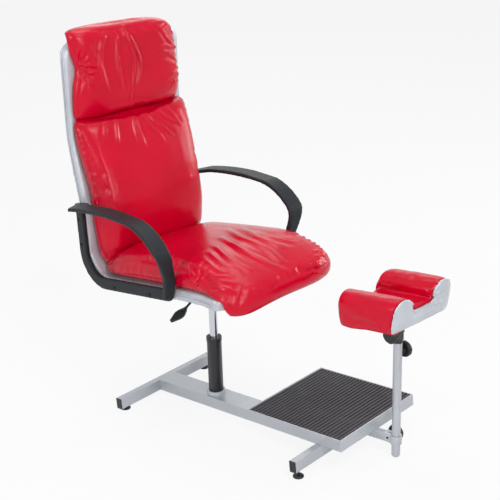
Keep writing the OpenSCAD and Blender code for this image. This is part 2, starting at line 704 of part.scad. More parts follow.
// The head cushion is drawn in at half of its height and hangs over the shell's top edge
module head_cushion() padded([
    [path_sum(6) + rest_gap, face_n, 0, 0.28 * head_thick, 0.95 * head_half, -0.03, 0],
    [path_sum(6) + 0.06 * head_len, face_n, 0, 0.47 * head_thick, head_half, -0.03, 0],
    [path_sum(6) + 0.22 * head_len, face_n, 0, 0.62 * head_thick, 1.015 * head_half, -0.02, 0],
    [path_sum(6) + 0.45 * head_len, face_n, 0, 0.65 * head_thick, head_half, -0.02, 0],
    [path_sum(6) + 0.62 * head_len, face_n, 0, 0.62 * head_thick, 0.965 * head_half, -0.01, 0],
    [path_sum(6) + 0.8 * head_len, face_n, 0, 0.58 * head_thick, 0.985 * head_half, -0.03, 0.01 * head_len],
    [path_len - 0.05 * head_len, face_n, -8, 0.58 * head_thick, 0.975 * head_half, -0.08, 0.03 * head_len],
    [path_len + rest_gap, face_n, -22, 0.6 * head_thick, 0.94 * head_half, -0.13, 0.045 * head_len],
    [path_len + 2 * rest_gap, 0.5 * face_n, -38, 0.56 * head_thick, 0.9 * head_half, -0.17, 0.05 * head_len],
    [path_len + 2 * rest_gap, -0.1 * face_n, -58, 0.4 * head_thick, 0.85 * head_half, -0.18, 0.05 * head_len],
    [path_len + 2 * rest_gap, -0.3 * face_n, -78, 0.22 * head_thick, 0.79 * head_half, -0.18,
        0.05 * head_len]]);

// Armrest: an L-shaped bracket along the shell's side and a loop that carries the arm pad
arm_path = [[arm_top_r * 16.1 * PI / 180, 16.1], [arm_bend_r * 46 * PI / 180, 46],
    [arm_front_r * 49 * PI / 180, 49], [arm_leg_r * 8 * PI / 180, 8], [arm_foot_len, 0]];
arm_start = [-arm_tail_y, arm_tail_z, 16.1];
function arm_at(s, p = arm_start, i = 0) = let (seg = arm_path[i])
    s <= seg[0] || i == len(arm_path) - 1 ? along(p, s, -seg[1] * s / seg[0])
    : arm_at(s - seg[0], along(p, seg[0], -seg[1]), i + 1);
function arm_sum(i) = i < 0 ? 0 : arm_path[i][0] + arm_sum(i - 1);
arm_len = arm_sum(len(arm_path) - 1);
// Length along the shell's path at which the arm's foot stands
arm_foot_s = front_len - (arm_at(arm_len)[0] + path_at(front_len)[0]) / cos(path_at(front_len)[2]);
bracket_from = arm_foot_s + 0.347842 * bracket_w;
bracket_to = path_sum(3) + 1.25 * bracket_w;
arm_steps = 44;
// Point on the loop's upper (side 1) or lower (side -1) face at a share of its length
function arm_point(share, side) =
    let (p = arm_at(arm_len * share), n = side * (arm_tail_t + (arm_foot_t - arm_tail_t) * share) / 2)
    [n * sin(p[2]) - p[0], p[1] + n * cos(p[2])];
module arm_band() across(0, arm_reach) polygon([for (side = [1, -1])
    for (i = side > 0 ? [0:arm_steps] : [arm_steps:-1:0]) arm_point(i / arm_steps, side)]);

// Screw places along the bracket, as lengths along the shell's path
screw_places = [front_len + 0.377 * seat_len, front_len + 0.861 * seat_len, path_sum(2) + 0.15 * lumbar_len,
    path_sum(2) + 0.95 * lumbar_len];
module insert_places() for (side = [-1, 1]) for (s = screw_places) let (p = off(s, screw_n))
    translate([side * (shell_w / 2), p[0], p[1]]) rotate([0, side * 90, 0]) children();

// Outline of the loop from the front. It narrows from the arm pad to its foot
loop_shares = [[0, 0.71], [0.44, 0.71], [0.47, 0.77], [0.56, 0.85], [0.77, 0.91], [1, 0.985], [1, 1.08],
    [0.275, 1.08], [0.275, 0.985], [0.19, 0.915], [0.05, 0.85], [0, 0.79]];
// Outline of the arm's rear end from above
tail_share = 0.86;
tail_shares = [[0, 1], [1, tail_share], [1, 0.76], [0.275, 0.74], [0, 0.85]];
module loop_trim() difference() {
    translate([0, arm_tail_y, 0]) rotate([90, 0, 0]) linear_extrude(2 * arm_tail_y)
        polygon([for (p = loop_shares) [p[0] * arm_reach, p[1] * arm_tail_z]]);
    linear_extrude(2 * arm_tail_z) polygon([[0, arm_tail_y], [arm_reach, arm_tail_y * tail_share],
        [2 * arm_reach, arm_tail_y * tail_share], [2 * arm_reach, 2 * arm_tail_y], [0, 2 * arm_tail_y]]);
}

// Drawn for the left side. X is the distance outward from the shell's side
module armrest_solid() difference() {
    union() {
        across(0, bracket_t) path_band(bracket_from, bracket_to, -bracket_w / 2, bracket_w / 2);
        across(0, bracket_t) translate(off(bracket_from, 0)) circle(d = bracket_w);
        intersection() {
            arm_band();
            union() {
                loop_trim();
                linear_extrude(2 * arm_tail_z)
                    polygon([for (p = tail_shares) [p[0] * arm_reach, p[1] * arm_tail_y]]);
            }
        }
    }
    for (s = screw_places) let (p = off(s, screw_n)) translate([0, p[0], p[1]]) rotate([0, 90, 0]) {
        translate([0, 0, -bracket_t]) cylinder(d = arm_screw_d + free_gap, h = 3 * bracket_t);
        translate([0, 0, bracket_t - head_sink]) cylinder(d = arm_head_d + free_gap, h = bracket_t);
    }
    across(-piping_t, 2 * piping_t + free_gap) piping_band(free_gap);
}

module armrest_right() color("#3c4246") on_seat() translate([-shell_w / 2, 0, 0]) mirror([1, 0, 0])
    armrest_solid();
module armrest_left() color("#3c4246") on_seat() translate([shell_w / 2, 0, 0]) armrest_solid();

module armrest_screws() color(black) on_seat() insert_places() {
    translate([0, 0, -arm_insert_len])
        cylinder(d = arm_screw_d - bore_gap, h = arm_insert_len + bracket_t - head_sink);
    translate([0, 0, bracket_t - head_sink]) difference() {
        cylinder(d = arm_head_d, h = arm_screw_d - tube_t);
        translate([0, 0, arm_screw_d - 2 * tube_t]) cylinder(d = arm_head_d / 2, h = arm_screw_d, $fn = 6);
    }
}

module armrest_inserts() color(chrome) on_seat() insert_places()
    translate([0, 0, -ply_inset - arm_insert_len / 2]) ring(arm_insert_d, arm_screw_d, arm_insert_len);

// Mechanism under the straight part of the seat
plate_s = front_len + seat_len * 0.345;
module on_plate() let (p = off(plate_s, -shell_t / 2)) translate([0, p[0], p[1]])
    rotate([path_at(plate_s)[2], 0, 0]) children();
module bolt_places() on_plate() for (x = [-1, 1]) for (y = [-1, 1])
    translate([x * bolt_pitch / 2, y * bolt_pitch / 2, 0]) children();

module mechanism_plate() color(black) on_seat() difference() {
    on_plate() translate([-plate_w / 2, -plate_w / 2, -plate_t]) cube([plate_w, plate_w, plate_t]);
    bolt_places() cylinder(d = bolt_d + free_gap, h = 4 * plate_t, center = true);
}

module plate_bolts() color(chrome) on_seat() bolt_places() {
    translate([0, 0, -plate_t - bolt_d * 0.6]) cylinder(d = bolt_d * 1.6, h = bolt_d * 0.6, $fn = 6);
    translate([0, 0, -plate_t]) cylinder(d = bolt_d, h = plate_t + ply_back + ply_t - free_gap);
}

module t_nuts() color(chrome) on_seat() bolt_places() translate([0, 0, ply_back])
    ring(t_nut_d, bolt_d, ply_t);

// Box under the plate with the socket for the cylinder and a slot for the lever
module mechanism_box() color(black) on_seat() difference() {
    union() {
        difference() {
            translate([-box_w / 2, -box_w / 2, box_z]) cube([box_w, box_w, plate_t * 20]);
            translate([box_t - box_w / 2, box_t - box_w / 2, box_z + box_t])
                cube([box_w - 2 * box_t, box_w - 2 * box_t, plate_t * 20]);
        }
        translate([0, 0, box_z]) cylinder(d = socket_d, h = cylinder_top - box_z - 2 * box_t);
    }
    on_plate() translate([-plate_w, -plate_w, -plate_t]) cube([2 * plate_w, 2 * plate_w, plate_w]);
    cylinder(d = cylinder_d, h = cylinder_top);
    rotate([0, 0, lever_angle]) {
        translate([-box_w, -lever_d, lever_z - lever_d * 1.2])
            cube([box_w - pivot_x * 0.8, 2 * lever_d, lever_d * 2.6]);
        translate([-pivot_x, 0, lever_z]) rotate([90, 0, 0])
            cylinder(d = lever_pin_d, h = socket_d, center = true);
    }
}
lever_z = cylinder_top + pin_rise + lever_d / 2 + rest_gap;

// Lever: from above the valve pin, over its pivot, out to the paddle
module on_lever() on_seat() rotate([0, 0, lever_angle]) translate([-pivot_x, 0, lever_z]) children();
module height_lever() color(black) on_lever() difference() {
    union() {
        translate([-elbow_x, 0, 0]) rotate([0, 90, 0])
            cylinder(d = lever_d, h = elbow_x + pivot_x + pin_d / 2);
        translate([-elbow_x, 0, 0]) rotate([90, 0, 0])
            cylinder(d = lever_d * 1.4, h = lever_d * 1.2, center = true);
        translate([-elbow_x, 0, 0]) rotate([0, -90 - lever_fall, 0])
            cylinder(d = lever_d, h = lever_run);
        rotate([90, 0, 0]) cylinder(d = lever_pin_d + lever_d, h = lever_d * 1.2, center = true);
    }
    rotate([90, 0, 0]) cylinder(d = lever_pin_d + bore_gap, h = 4 * lever_d, center = true);
}
lever_fall = atan(lever_drop / (lever_len - pivot_x - elbow_x));
lever_run = sqrt(pow(lever_len - pivot_x - elbow_x, 2) + pow(lever_drop, 2));

module lever_pin() color(chrome) on_lever() rotate([90, 0, 0])
    cylinder(d = lever_pin_d, h = socket_d * 0.6, center = true);

module paddle_plate() translate([lever_d, 0, -paddle_t / 2]) linear_extrude(paddle_t) union() {
    translate([-paddle_len * 0.45, 0]) circle(d = paddle_w);
    translate([-paddle_len * 0.92, paddle_w * 0.1]) circle(d = paddle_w * 0.34);
    polygon([[-paddle_len * 0.58, -paddle_w * 0.48], [-paddle_len * 0.98, -paddle_w * 0.05],
        [-paddle_len * 0.9, paddle_w * 0.27], [-paddle_len * 0.5, paddle_w * 0.5]]);
    polygon([[0, -paddle_w * 0.2], [0, paddle_w * 0.2], [-paddle_len * 0.3, paddle_w * 0.47],
        [-paddle_len * 0.3, -paddle_w * 0.47]]);
}

module lever_paddle() color(black) on_lever() translate([pivot_x - lever_len, 0, -lever_drop]) difference() {
    union() {
        rotate([0, 0, -lever_angle]) rotate([0, -paddle_droop, 0]) paddle_plate();
        rotate([0, -lever_fall, 0]) translate([-lever_d, 0, 0]) rotate([0, 90, 0])
            cylinder(d = lever_d + paddle_t / 2, h = 3 * lever_d);
    }
    rotate([0, -lever_fall, 0]) rotate([0, 90, 0]) cylinder(d = lever_d, h = 3 * lever_d);
}

// Post, stem and the three clamping knobs
module post_tube() color(steel) difference() {
    at_post(post_z) ring(post_d, post_inner, post_top - post_z);
    at_post(post_top - knob_drop) rotate([0, 90, 0]) cylinder(d = stud_d + free_gap, h = post_d);
}

module post_plug() color(steel) at_post(post_z) {
    cylinder(d = post_inner, h = post_inner);
    difference() {
        sphere(d = post_inner);
        cylinder(d = post_d, h = post_d);
        translate([0, 0, -post_d - plug_depth]) cylinder(d = post_d, h = post_d);
    }
}

module post_bush() color(black) at_post(post_top - bush_len) difference() {
    ring(post_inner, stem_d + bore_gap, bush_len);
    translate([0, 0, bush_len - knob_drop]) rotate([0, 90, 0]) cylinder(d = stud_d + free_gap, h = post_d);
}

// Round knob with scalloped rim, drawn with its stud along -Z and its head along +Z
module knob(stud_len) {
    scallops = 9;
    scallop_share = 0.16;
    difference() {
        union() {
            cylinder(d = knob_d * 0.44, h = neck_len);
            translate([0, 0, neck_len]) cylinder(d1 = knob_d * 0.9, d2 = knob_d, h = knob_t * 0.3);
            translate([0, 0, neck_len + knob_t * 0.3]) cylinder(d = knob_d, h = knob_t * 0.45);
            translate([0, 0, neck_len + knob_t * 0.75])
                cylinder(d1 = knob_d, d2 = knob_d * 0.82, h = knob_t * 0.25);
        }
        for (i = [0:scallops - 1]) rotate([0, 0, 360 * i / scallops])
            translate([knob_d * 0.54, 0, neck_len - knob_t])
                cylinder(d = knob_d * scallop_share, h = 3 * knob_t);
    }
    translate([0, 0, -stud_len]) cylinder(d = stud_d, h = stud_len + neck_len);
}

module upper_knob() color(black) at_post(post_top - knob_drop) translate([post_d / 2 + free_gap, 0, 0])
    rotate([0, 90, 0]) knob((post_d - stem_d) / 2);

module lower_knob() color(black) at_post(clamp_z + clamp_h / 2)
    translate([arm_tube / 2 + free_gap, clamp_screw_y, 0]) rotate([0, 90, 0]) knob(arm_tube + free_gap);

module stem() color(chrome) at_post(post_top - stem_len) cylinder(d = stem_d, h = stem_len + collar_gap);

// Knuckle on the stem, and the bracket that tilts on it
module knuckle() color(black) difference() {
    at_post(post_top + collar_gap) {
        cylinder(d1 = post_d + 2 * tube_t, d2 = knuckle_w, h = knuckle_w / 2);
        translate([-knuckle_w / 2, -knuckle_w / 2, knuckle_w / 4])
            cube([knuckle_w, knuckle_w, tilt_z - post_top - collar_gap - knuckle_w / 4]);
        translate([-knuckle_w / 2, 0, tilt_z - post_top - collar_gap]) rotate([0, 90, 0])
            cylinder(d = knuckle_w, h = knuckle_w);
    }
    at_post(tilt_z) rotate([0, 90, 0])
        cylinder(d = stud_d + bore_gap, h = 4 * knuckle_w, center = true);
}

module tilt_bracket() color(black) on_pad() difference() {
    union() {
        translate([-plate_half_x, -plate_half_y, pad_lift - board_t - ear_t])
            cube([2 * plate_half_x, 2 * plate_half_y, ear_t]);
        for (side = [-1, 1])
            translate([side < 0 ? -knuckle_w / 2 - ear_gap - ear_t : knuckle_w / 2 + ear_gap, 0, 0]) {
                translate([0, -knuckle_w / 2, 0]) cube([ear_t, knuckle_w, pad_lift - board_t - ear_t]);
                rotate([0, 90, 0]) cylinder(d = knuckle_w, h = ear_t);
            }
    }
    rotate([0, 90, 0]) cylinder(d = stud_d + bore_gap, h = 4 * knuckle_w, center = true);
    board_holes() cylinder(d = board_screw_d, h = pad_lift);
}
plate_half_x = board_w * 0.28;
plate_half_y = board_len * 0.42;
module board_holes() for (x = [-1, 1]) for (y = [-1, 1])
    translate([x * (plate_half_x - 2 * board_screw_d), y * (plate_half_y - 3 * board_screw_d), 0]) children();

module tilt_knob() color(black) on_pad()
    translate([-knuckle_w / 2 - ear_gap - ear_t - free_gap, 0, 0]) rotate([0, -90, 0])
    knob(knuckle_w + 2 * ear_gap + 2 * ear_t + free_gap + nut_t);

module tilt_nut() color(chrome) on_pad() translate([knuckle_w / 2 + ear_gap + ear_t, 0, 0])
    rotate([0, 90, 0]) difference() {
        cylinder(d = stud_d * 1.8, h = nut_t, $fn = 6);
        translate([0, 0, -nut_t]) cylinder(d = stud_d + bore_gap, h = 3 * nut_t);
    }

module cushion_board() color(red) on_pad() difference() {
    translate([-board_w / 2, -board_len / 2, pad_lift - board_t]) cube([board_w, board_len, board_t]);
    board_holes() cylinder(d = board_screw_d, h = pad_lift + board_t);
}

module board_screws() color(chrome) on_pad() board_holes() {
    translate([0, 0, pad_lift - board_t - ear_t]) cylinder(d = board_screw_d, h = board_t + ear_t);
    translate([0, 0, pad_lift - board_t - ear_t - board_screw_d / 2])
        cylinder(d = board_screw_d * 1.8, h = board_screw_d / 2);
}

// Saddle cushion: outline across it, from the base's left corner over both ridges to the right
ridge_steps = 9;
function half_outline(h) = let (c = [pad_half - ridge_r, h - ridge_r]) concat(
    [[pad_half * 0.93, 0], [pad_half * 0.98, h * 0.12], [pad_half, h * 0.35]],
    [for (i = [0:ridge_steps]) let (a = 180 * i / ridge_steps)
        [c[0] + ridge_r * cos(a), c[1] + ridge_r * sin(a)]],
    [[c[0] - ridge_r * 0.93, valley_h + ridge_r * 0.14], [c[0] - ridge_r * 1.12, valley_h + ridge_r * 0.01],
        [pad_half * 0.14, valley_h - ridge_r * 0.03]]);
saddle_outline = concat(half_outline(pad_h), [for (p = reversed(half_outline(low_h))) [-p[0], p[1]]]);
// Point of the outline where the right ridge goes over into the valley
hump_start = len(saddle_outline) / 2 + 3;
// The outline drawn in by a share and set at y. It leans towards the front with its height and
// runs back towards the right.
function saddle_ring(y, share, lean, skew) = let (base = pad_lift + rest_gap + 0.4 * pad_h * (1 - share))
    [for (p = saddle_outline) let (x = p[0] * share, z = p[1] * share)
        [x, y - lean * z - skew * x / pad_half, base + z]];
function lean_at(r) = rear_lean_share + (front_lean_share - rear_lean_share) * r;
function skew_at(r) = rear_skew + (front_skew - rear_skew) * r;
front_lean_share = 0.3;
rear_lean_share = 0.06;
rear_y = pad_len - pad_front;

// Rings of the red body from its rear seam to its front seam: place, size
body_shares = [[0, 0.86], [0.02, 0.93], [0.07, 0.98], [0.16, 1], [0.4, 1], [0.7, 0.995], [0.9, 0.985],
    [1, 0.965]];
module leg_cushion() color(red) on_pad() loft([for (r = body_shares)
    saddle_ring(rear_y - r[0] * pad_len, r[1], lean_at(r[0]), skew_at(r[0]))], hump_start);

function panel_rings(from, depth, first, drawn, end) = [for (t = [0, 0.3, 0.6, 0.85, 1])
    saddle_ring(from + depth * t, first - drawn * pow(t, 3), lean_at(end), skew_at(end))];

module leg_cushion_ends() color(silver) on_pad() {
    loft(panel_rings(-pad_front - rest_gap, -panel_t, 0.965, 0.16, 1), hump_start);
    loft(reversed(panel_rings(rear_y + rest_gap, rear_panel_t, 0.84, 0.3, 0)), hump_start);
}

rear_crossbar();
front_crossbar();
spine_tube();
tray_frame();
tray_sheet();
ribbed_mat();
crossbar_caps();
foot_inserts();
foot_rear_right();
foot_rear_left();
foot_front_right();
foot_front_left();
support_arm();
post_clamp();
column_hub();
outer_tube();
guide_bush();
thrust_bearing();
piston_rod();
rod_clip();
gas_cylinder();
valve_pin();
mechanism_plate();
mechanism_box();
height_lever();
lever_paddle();
lever_pin();
plate_bolts();
t_nuts();
shell_plywood();
shell_cover();
edge_piping();
seat_cushion();
back_cushion();
head_cushion();
armrest_right();
armrest_left();
armrest_screws();
armrest_inserts();
post_tube();
post_plug();
post_bush();
lower_knob();
upper_knob();
stem();
knuckle();
tilt_bracket();
tilt_knob();
tilt_nut();
cushion_board();
board_screws();
leg_cushion();
leg_cushion_ends();
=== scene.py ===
"""Looks of a pedicure station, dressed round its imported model.

A padded armchair on a lift column, a floor base with a foot tray, and a post with a saddle
cushion for the leg. Sizes are in metres in the model's own frame: X to the sitter's left,
-Y to the front, Z up.
"""

from __future__ import annotations

import json
import logging
import math
import random
from dataclasses import dataclass, field
from enum import Enum
from functools import lru_cache
from typing import Callable, Mapping, Sequence, Union

import bmesh
import bpy
import numpy as np
from mathutils import Matrix, Vector, noise
from mathutils.bvhtree import BVHTree

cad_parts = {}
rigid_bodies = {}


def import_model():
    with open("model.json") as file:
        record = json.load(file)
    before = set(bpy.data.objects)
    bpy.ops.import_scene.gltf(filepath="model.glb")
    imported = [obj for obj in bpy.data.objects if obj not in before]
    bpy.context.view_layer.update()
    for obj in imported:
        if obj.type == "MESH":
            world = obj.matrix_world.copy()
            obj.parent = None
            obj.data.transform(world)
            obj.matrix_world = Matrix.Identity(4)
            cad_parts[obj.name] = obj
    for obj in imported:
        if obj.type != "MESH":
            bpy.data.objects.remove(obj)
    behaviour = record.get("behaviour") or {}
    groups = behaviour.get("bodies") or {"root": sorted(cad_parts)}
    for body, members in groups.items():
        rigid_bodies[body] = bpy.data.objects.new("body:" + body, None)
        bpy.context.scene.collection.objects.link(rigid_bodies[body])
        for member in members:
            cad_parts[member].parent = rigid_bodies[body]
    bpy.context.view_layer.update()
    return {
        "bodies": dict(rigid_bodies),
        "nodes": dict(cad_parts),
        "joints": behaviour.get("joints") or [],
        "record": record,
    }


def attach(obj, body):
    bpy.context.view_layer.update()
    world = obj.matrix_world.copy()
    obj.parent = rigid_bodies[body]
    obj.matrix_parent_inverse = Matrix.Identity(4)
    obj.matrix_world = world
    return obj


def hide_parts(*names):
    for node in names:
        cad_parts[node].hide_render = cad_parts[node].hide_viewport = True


log = logging.getLogger("pedicure_station")
Point = tuple[float, float, float]
Number = Union["Value", float]
Colour = tuple[float, float, float, float]

MM_PER_M = 1000
MERGE_REACH = 0.00001
# A Mix node's sockets when it mixes colours
MIX_SHARE, MIX_FIRST, MIX_SECOND, MIXED_COLOUR = 0, 6, 7, 2


class Value:
    """A shader socket on which Python's operators add Math nodes."""

    def __init__(self, graph: "Graph", node: bpy.types.Node, out: int | str = 0) -> None:
        """Wraps one output of a node.

        Args:
            graph: The graph that the node is in.
            node: The node.
            out: The output's index or name.
        """
        self.graph = graph
        self.node = node
        self.socket = node.outputs[out]

    def other(self, out: int | str) -> "Value":
        """Another output of the same node."""
        return Value(self.graph, self.node, out)

    def _math(self, operation: str, first: Number, second: Number) -> "Value":
        """A Math node on two values."""
        return self.graph.node("ShaderNodeMath", {"operation": operation}, {0: first, 1: second})

    def __add__(self, term: Number) -> "Value":
        """Sum."""
        return self._math("ADD", self, term)

    __radd__ = __add__

    def __mul__(self, term: Number) -> "Value":
        """Product."""
        return self._math("MULTIPLY", self, term)

    __rmul__ = __mul__

    def __sub__(self, term: Number) -> "Value":
        """Difference."""
        return self._math("SUBTRACT", self, term)

    def __rsub__(self, term: Number) -> "Value":
        """Difference from a number."""
        return self._math("SUBTRACT", term, self)

    def between(self, low: float, high: float, start: float = 0.0, end: float = 1.0) -> "Value":
        """The value mapped from low..high to start..end and kept there.

        Args:
            low: The value that gives start.
            high: The value that gives end.
            start: The result at low.
            end: The result at high.

        Returns:
            The mapped value.
        """
        return self.graph.node(
            "ShaderNodeMapRange",
            {"clamp": True},
            {"Value": self, "From Min": low, "From Max": high, "To Min": start, "To Max": end},
        )


class Graph:
    """The node graph of one material."""

    def __init__(self, name: str) -> None:
        """Makes a material with an empty graph.

        Args:
            name: The material's name.
        """
        self.material = bpy.data.materials.new(name)
        self.material.use_nodes = True
        self.tree = self.material.node_tree
        self.tree.nodes.clear()
        self.place = self.node("ShaderNodeTexCoord").other("Object")

    def node(
        self,
        kind: str,
        settings: Mapping[str, object] | None = None,
        inputs: Mapping[int | str, object] | None = None,
    ) -> Value:
        """Adds a node.

        Args:
            kind: The node's type.
            settings: Its properties, set first.
            inputs: Numbers, colours or values for its sockets, by name or index.

        Returns:
            The node's first output, or what was linked to it where it has none.
        """
        made = self.tree.nodes.new(kind)
        for key, setting in (settings or {}).items():
            setattr(made, key, setting)
        for key, given in (inputs or {}).items():
            if isinstance(given, Value):
                self.tree.links.new(given.socket, made.inputs[key])
            else:
                made.inputs[key].default_value = given
        return Value(self, made) if made.outputs else given

    def stretched(self, scale: Point) -> Value:
        """Object coordinates scaled along each axis."""
        return self.node("ShaderNodeMapping", None, {"Vector": self.place, "Scale": scale})

    def noise(self, scale: float, detail: float = 2.0, vector: Value | None = None) -> Value:
        """Noise of a given scale, in features per metre."""
        inputs = {"Vector": vector or self.place, "Scale": scale, "Detail": detail}
        return self.node("ShaderNodeTexNoise", None, inputs)

    def cells(self, scale: float) -> Value:
        """Distance to the edges of cells of a given scale."""
        inputs = {"Vector": self.place, "Scale": scale}
        made = self.node("ShaderNodeTexVoronoi", {"feature": "DISTANCE_TO_EDGE"}, inputs)
        return made.other("Distance")

    def mix(self, share: Number, first: object, second: object) -> Value:
        """A mix of two colours."""
        inputs = {MIX_SHARE: share, MIX_FIRST: first, MIX_SECOND: second}
        return self.node("ShaderNodeMix", {"data_type": "RGBA"}, inputs).other(MIXED_COLOUR)

    def bump(
        self, height: Value, distance: float, strength: float, under: Value | None = None
    ) -> Value:
        """A Bump node of a real depth.

        Args:
            height: The height, from 0 to 1.
            distance: The depth of 1 in metres.
            strength: The share of it that shows.
            under: A bump that this one is added to.

        Returns:
            The normal.
        """
        inputs: dict[int | str, object] = {"Height": height, "Distance": distance}
        inputs["Strength"] = strength
        if under is not None:
            inputs["Normal"] = under
        return self.node("ShaderNodeBump", None, inputs)


def linear(rgb: Sequence[float]) -> Colour:
    """A colour of 0 to 255 as the linear colour that a shader takes."""
    parts = [c / 255 for c in rgb]
    parts = [c / 12.92 if c <= 0.04045 else ((c + 0.055) / 1.055) ** 2.4 for c in parts]
    return (parts[0], parts[1], parts[2], 1.0)


@dataclass(frozen=True)
class Finish:
    """What every finish has: a name, a colour of 0 to 255 and its gloss."""

    name: str
    colour: tuple[int, int, int]
    roughness: float
    metallic: float = 0.0
    coat: float = 0.0
    specular: float = 0.5

    def shade(self, graph: Graph) -> dict[str, Value]:
        """What changes over the surface, by the shader's socket."""
        tone = graph.mix(graph.noise(scale=9.0), self.tint(0.94), self.tint(1.05))
        return {"Base Color": tone}

    def tint(self, gain: float) -> Colour:
        """The colour made lighter or darker."""
        return (*[min(c * gain, 1.0) for c in linear(self.colour)[:3]], 1.0)


@dataclass(frozen=True)
class PowderCoat(Finish):
    """Satin paint on steel with a fine orange peel."""

    peel: float = 900.0

    def shade(self, graph: Graph) -> dict[str, Value]:
        """Orange peel, faint clouding and a few handling marks."""
        clouds = graph.noise(scale=7.0, detail=4.0)
        streaks = graph.stretched((1.0, 1.0, 3.0))
        marks = graph.noise(scale=60.0, detail=6.0, vector=streaks).between(low=0.62, high=0.72)
        tone = graph.mix(clouds.between(low=0.3, high=0.7), self.tint(0.95), self.tint(1.04))
        height = graph.noise(scale=self.peel, detail=1.0)
        return {
            "Base Color": graph.mix(marks * 0.35, tone, self.tint(0.86)),
            "Roughness": clouds * 0.12 + (self.roughness - 0.06) + marks * 0.08,
            "Normal": graph.bump(height, distance=0.00012, strength=0.5),
        }


@dataclass(frozen=True)
class Moulded(Finish):
    """Plastic from a spark-eroded mould."""

    grain: float = 1500.0
    depth: float = 0.00012

    def shade(self, graph: Graph) -> dict[str, Value]:
        """Fine grain with dull and rubbed patches."""
        rubbed = graph.noise(scale=14.0, detail=3.0)
        grain = graph.noise(scale=self.grain, detail=2.0)
        worn = rubbed.between(low=0.35, high=0.7)
        return {
            "Base Color": graph.mix(worn, self.tint(0.9), self.tint(1.15)),
            "Roughness": rubbed * 0.14 + (self.roughness - 0.07),
            "Normal": graph.bump(grain, distance=self.depth, strength=0.6),
        }


@dataclass(frozen=True)
class Rubber(Finish):
    """Dull rubber, a little dusty."""

    def shade(self, graph: Graph) -> dict[str, Value]:
        """Dust and a fine tooth."""
        dust = graph.noise(scale=22.0, detail=6.0).between(low=0.45, high=0.8)
        return {
            "Base Color": graph.mix(dust, self.tint(0.9), self.tint(1.35)),
            "Normal": graph.bump(graph.noise(scale=700.0), distance=0.0002, strength=0.5),
        }


@dataclass(frozen=True)
class Chromed(Finish):
    """Polished chrome with faint wipe marks."""

    def shade(self, graph: Graph) -> dict[str, Value]:
        """Wipe marks in the gloss."""
        wiped = graph.noise(scale=90.0, detail=3.0, vector=graph.stretched((1.0, 1.0, 0.1)))
        return {
            "Roughness": wiped * 0.07 + (self.roughness - 0.035),
            "Base Color": graph.mix(graph.noise(scale=12.0), self.tint(0.95), self.tint(1.02)),
        }


@dataclass(frozen=True)
class Plated(Finish):
    """Zinc plate with turning marks."""

    def shade(self, graph: Graph) -> dict[str, Value]:
        """Fine rings and a cloudy plate."""
        rings = graph.noise(scale=60.0, detail=2.0, vector=graph.stretched((1.0, 1.0, 25.0)))
        clouds = graph.noise(scale=40.0, detail=3.0)
        return {
            "Base Color": graph.mix(clouds, self.tint(0.88), self.tint(1.05)),
            "Roughness": rings * 0.16 + (self.roughness - 0.08),
            "Normal": graph.bump(rings, distance=0.00006, strength=0.4),
        }


@dataclass(frozen=True)
class Plywood(Finish):
    """Raw plywood with the veneers' lines on its edges."""

    veneer: float = 0.0015

    def shade(self, graph: Graph) -> dict[str, Value]:
        """Long grain with darker layers."""
        grain = graph.noise(scale=30.0, detail=5.0, vector=graph.stretched((1.0, 9.0, 9.0)))
        layer = graph.node(
            "ShaderNodeTexWave",
            {"wave_type": "BANDS", "bands_direction": "Z"},
            {"Vector": graph.place, "Scale": 0.05 / self.veneer, "Distortion": 0.4, "Detail": 1.0},
        ).other("Fac")
        tone = graph.mix(grain, self.tint(0.75), self.tint(1.12))
        dark = layer.between(low=0.6, high=0.9, start=0.0, end=0.5)
        return {
            "Base Color": graph.mix(dark, tone, self.tint(0.55)),
            "Normal": graph.bump(grain, distance=0.0003, strength=0.4),
        }


@dataclass(frozen=True)
class Vinyl(Finish):
    """Artificial leather: glossy skin, fine pores and a stretched cloth under it."""

    grain: float = 520.0
    ripple: float = 0.0006

    def shade(self, graph: Graph) -> dict[str, Value]:
        """Pores and hair-fine creases over slow ripples, with handled patches that shine more."""
        pores = graph.cells(self.grain).between(low=0.0, high=0.25)
        ripples = graph.noise(scale=34.0, detail=4.0)
        handled = graph.noise(scale=8.0, detail=3.0)
        slack = graph.bump(ripples, distance=self.ripple, strength=0.8)
        worn = handled.between(low=0.3, high=0.7)
        return {
            "Base Color": graph.mix(worn, self.tint(0.93), self.tint(1.06)),
            "Roughness": handled * 0.1 + ripples * 0.06 + (self.roughness - 0.08),
            "Normal": graph.bump(pores, distance=0.00016, strength=0.45, under=slack),
        }


class Coats(Enum):
    """The finishes of the station, one for each material slot of the record."""

    FRAME_STEEL = PowderCoat("silver_powder_coat", (180, 184, 190), 0.38, metallic=0.25)
    BLACK_STEEL = PowderCoat("black_powder_coat", (24, 25, 28), 0.32)
    BLACK_PLASTIC = Moulded("black_moulded_plastic", (20, 21, 23), 0.42)
    ARM_PLASTIC = Moulded("grey_arm_plastic", (34, 38, 42), 0.5, specular=0.2)
    MAT_RUBBER = Rubber("ribbed_mat_rubber", (62, 59, 63), 0.66)
    CHROME = Chromed("polished_chrome", (204, 207, 212), 0.12, metallic=1.0)
    BRIGHT_STEEL = Plated("zinc_plate", (186, 189, 194), 0.34, metallic=1.0)
    DARK_SCREWS = Plated("blackened_screws", (40, 41, 44), 0.4, metallic=0.8)
    PLYWOOD = Plywood("shell_plywood_veneer", (201, 162, 108), 0.6)
    SILVER_VINYL = Vinyl("silver_vinyl_skin", (188, 192, 199), 0.34, metallic=0.25, ripple=0.0003)
    RED_VINYL = Vinyl("red_vinyl_skin", (198, 0, 40), 0.16, coat=0.04, specular=0.2)

    @property
    def slot(self) -> str:
        """The record's name of the slot."""
        return self.name.lower()


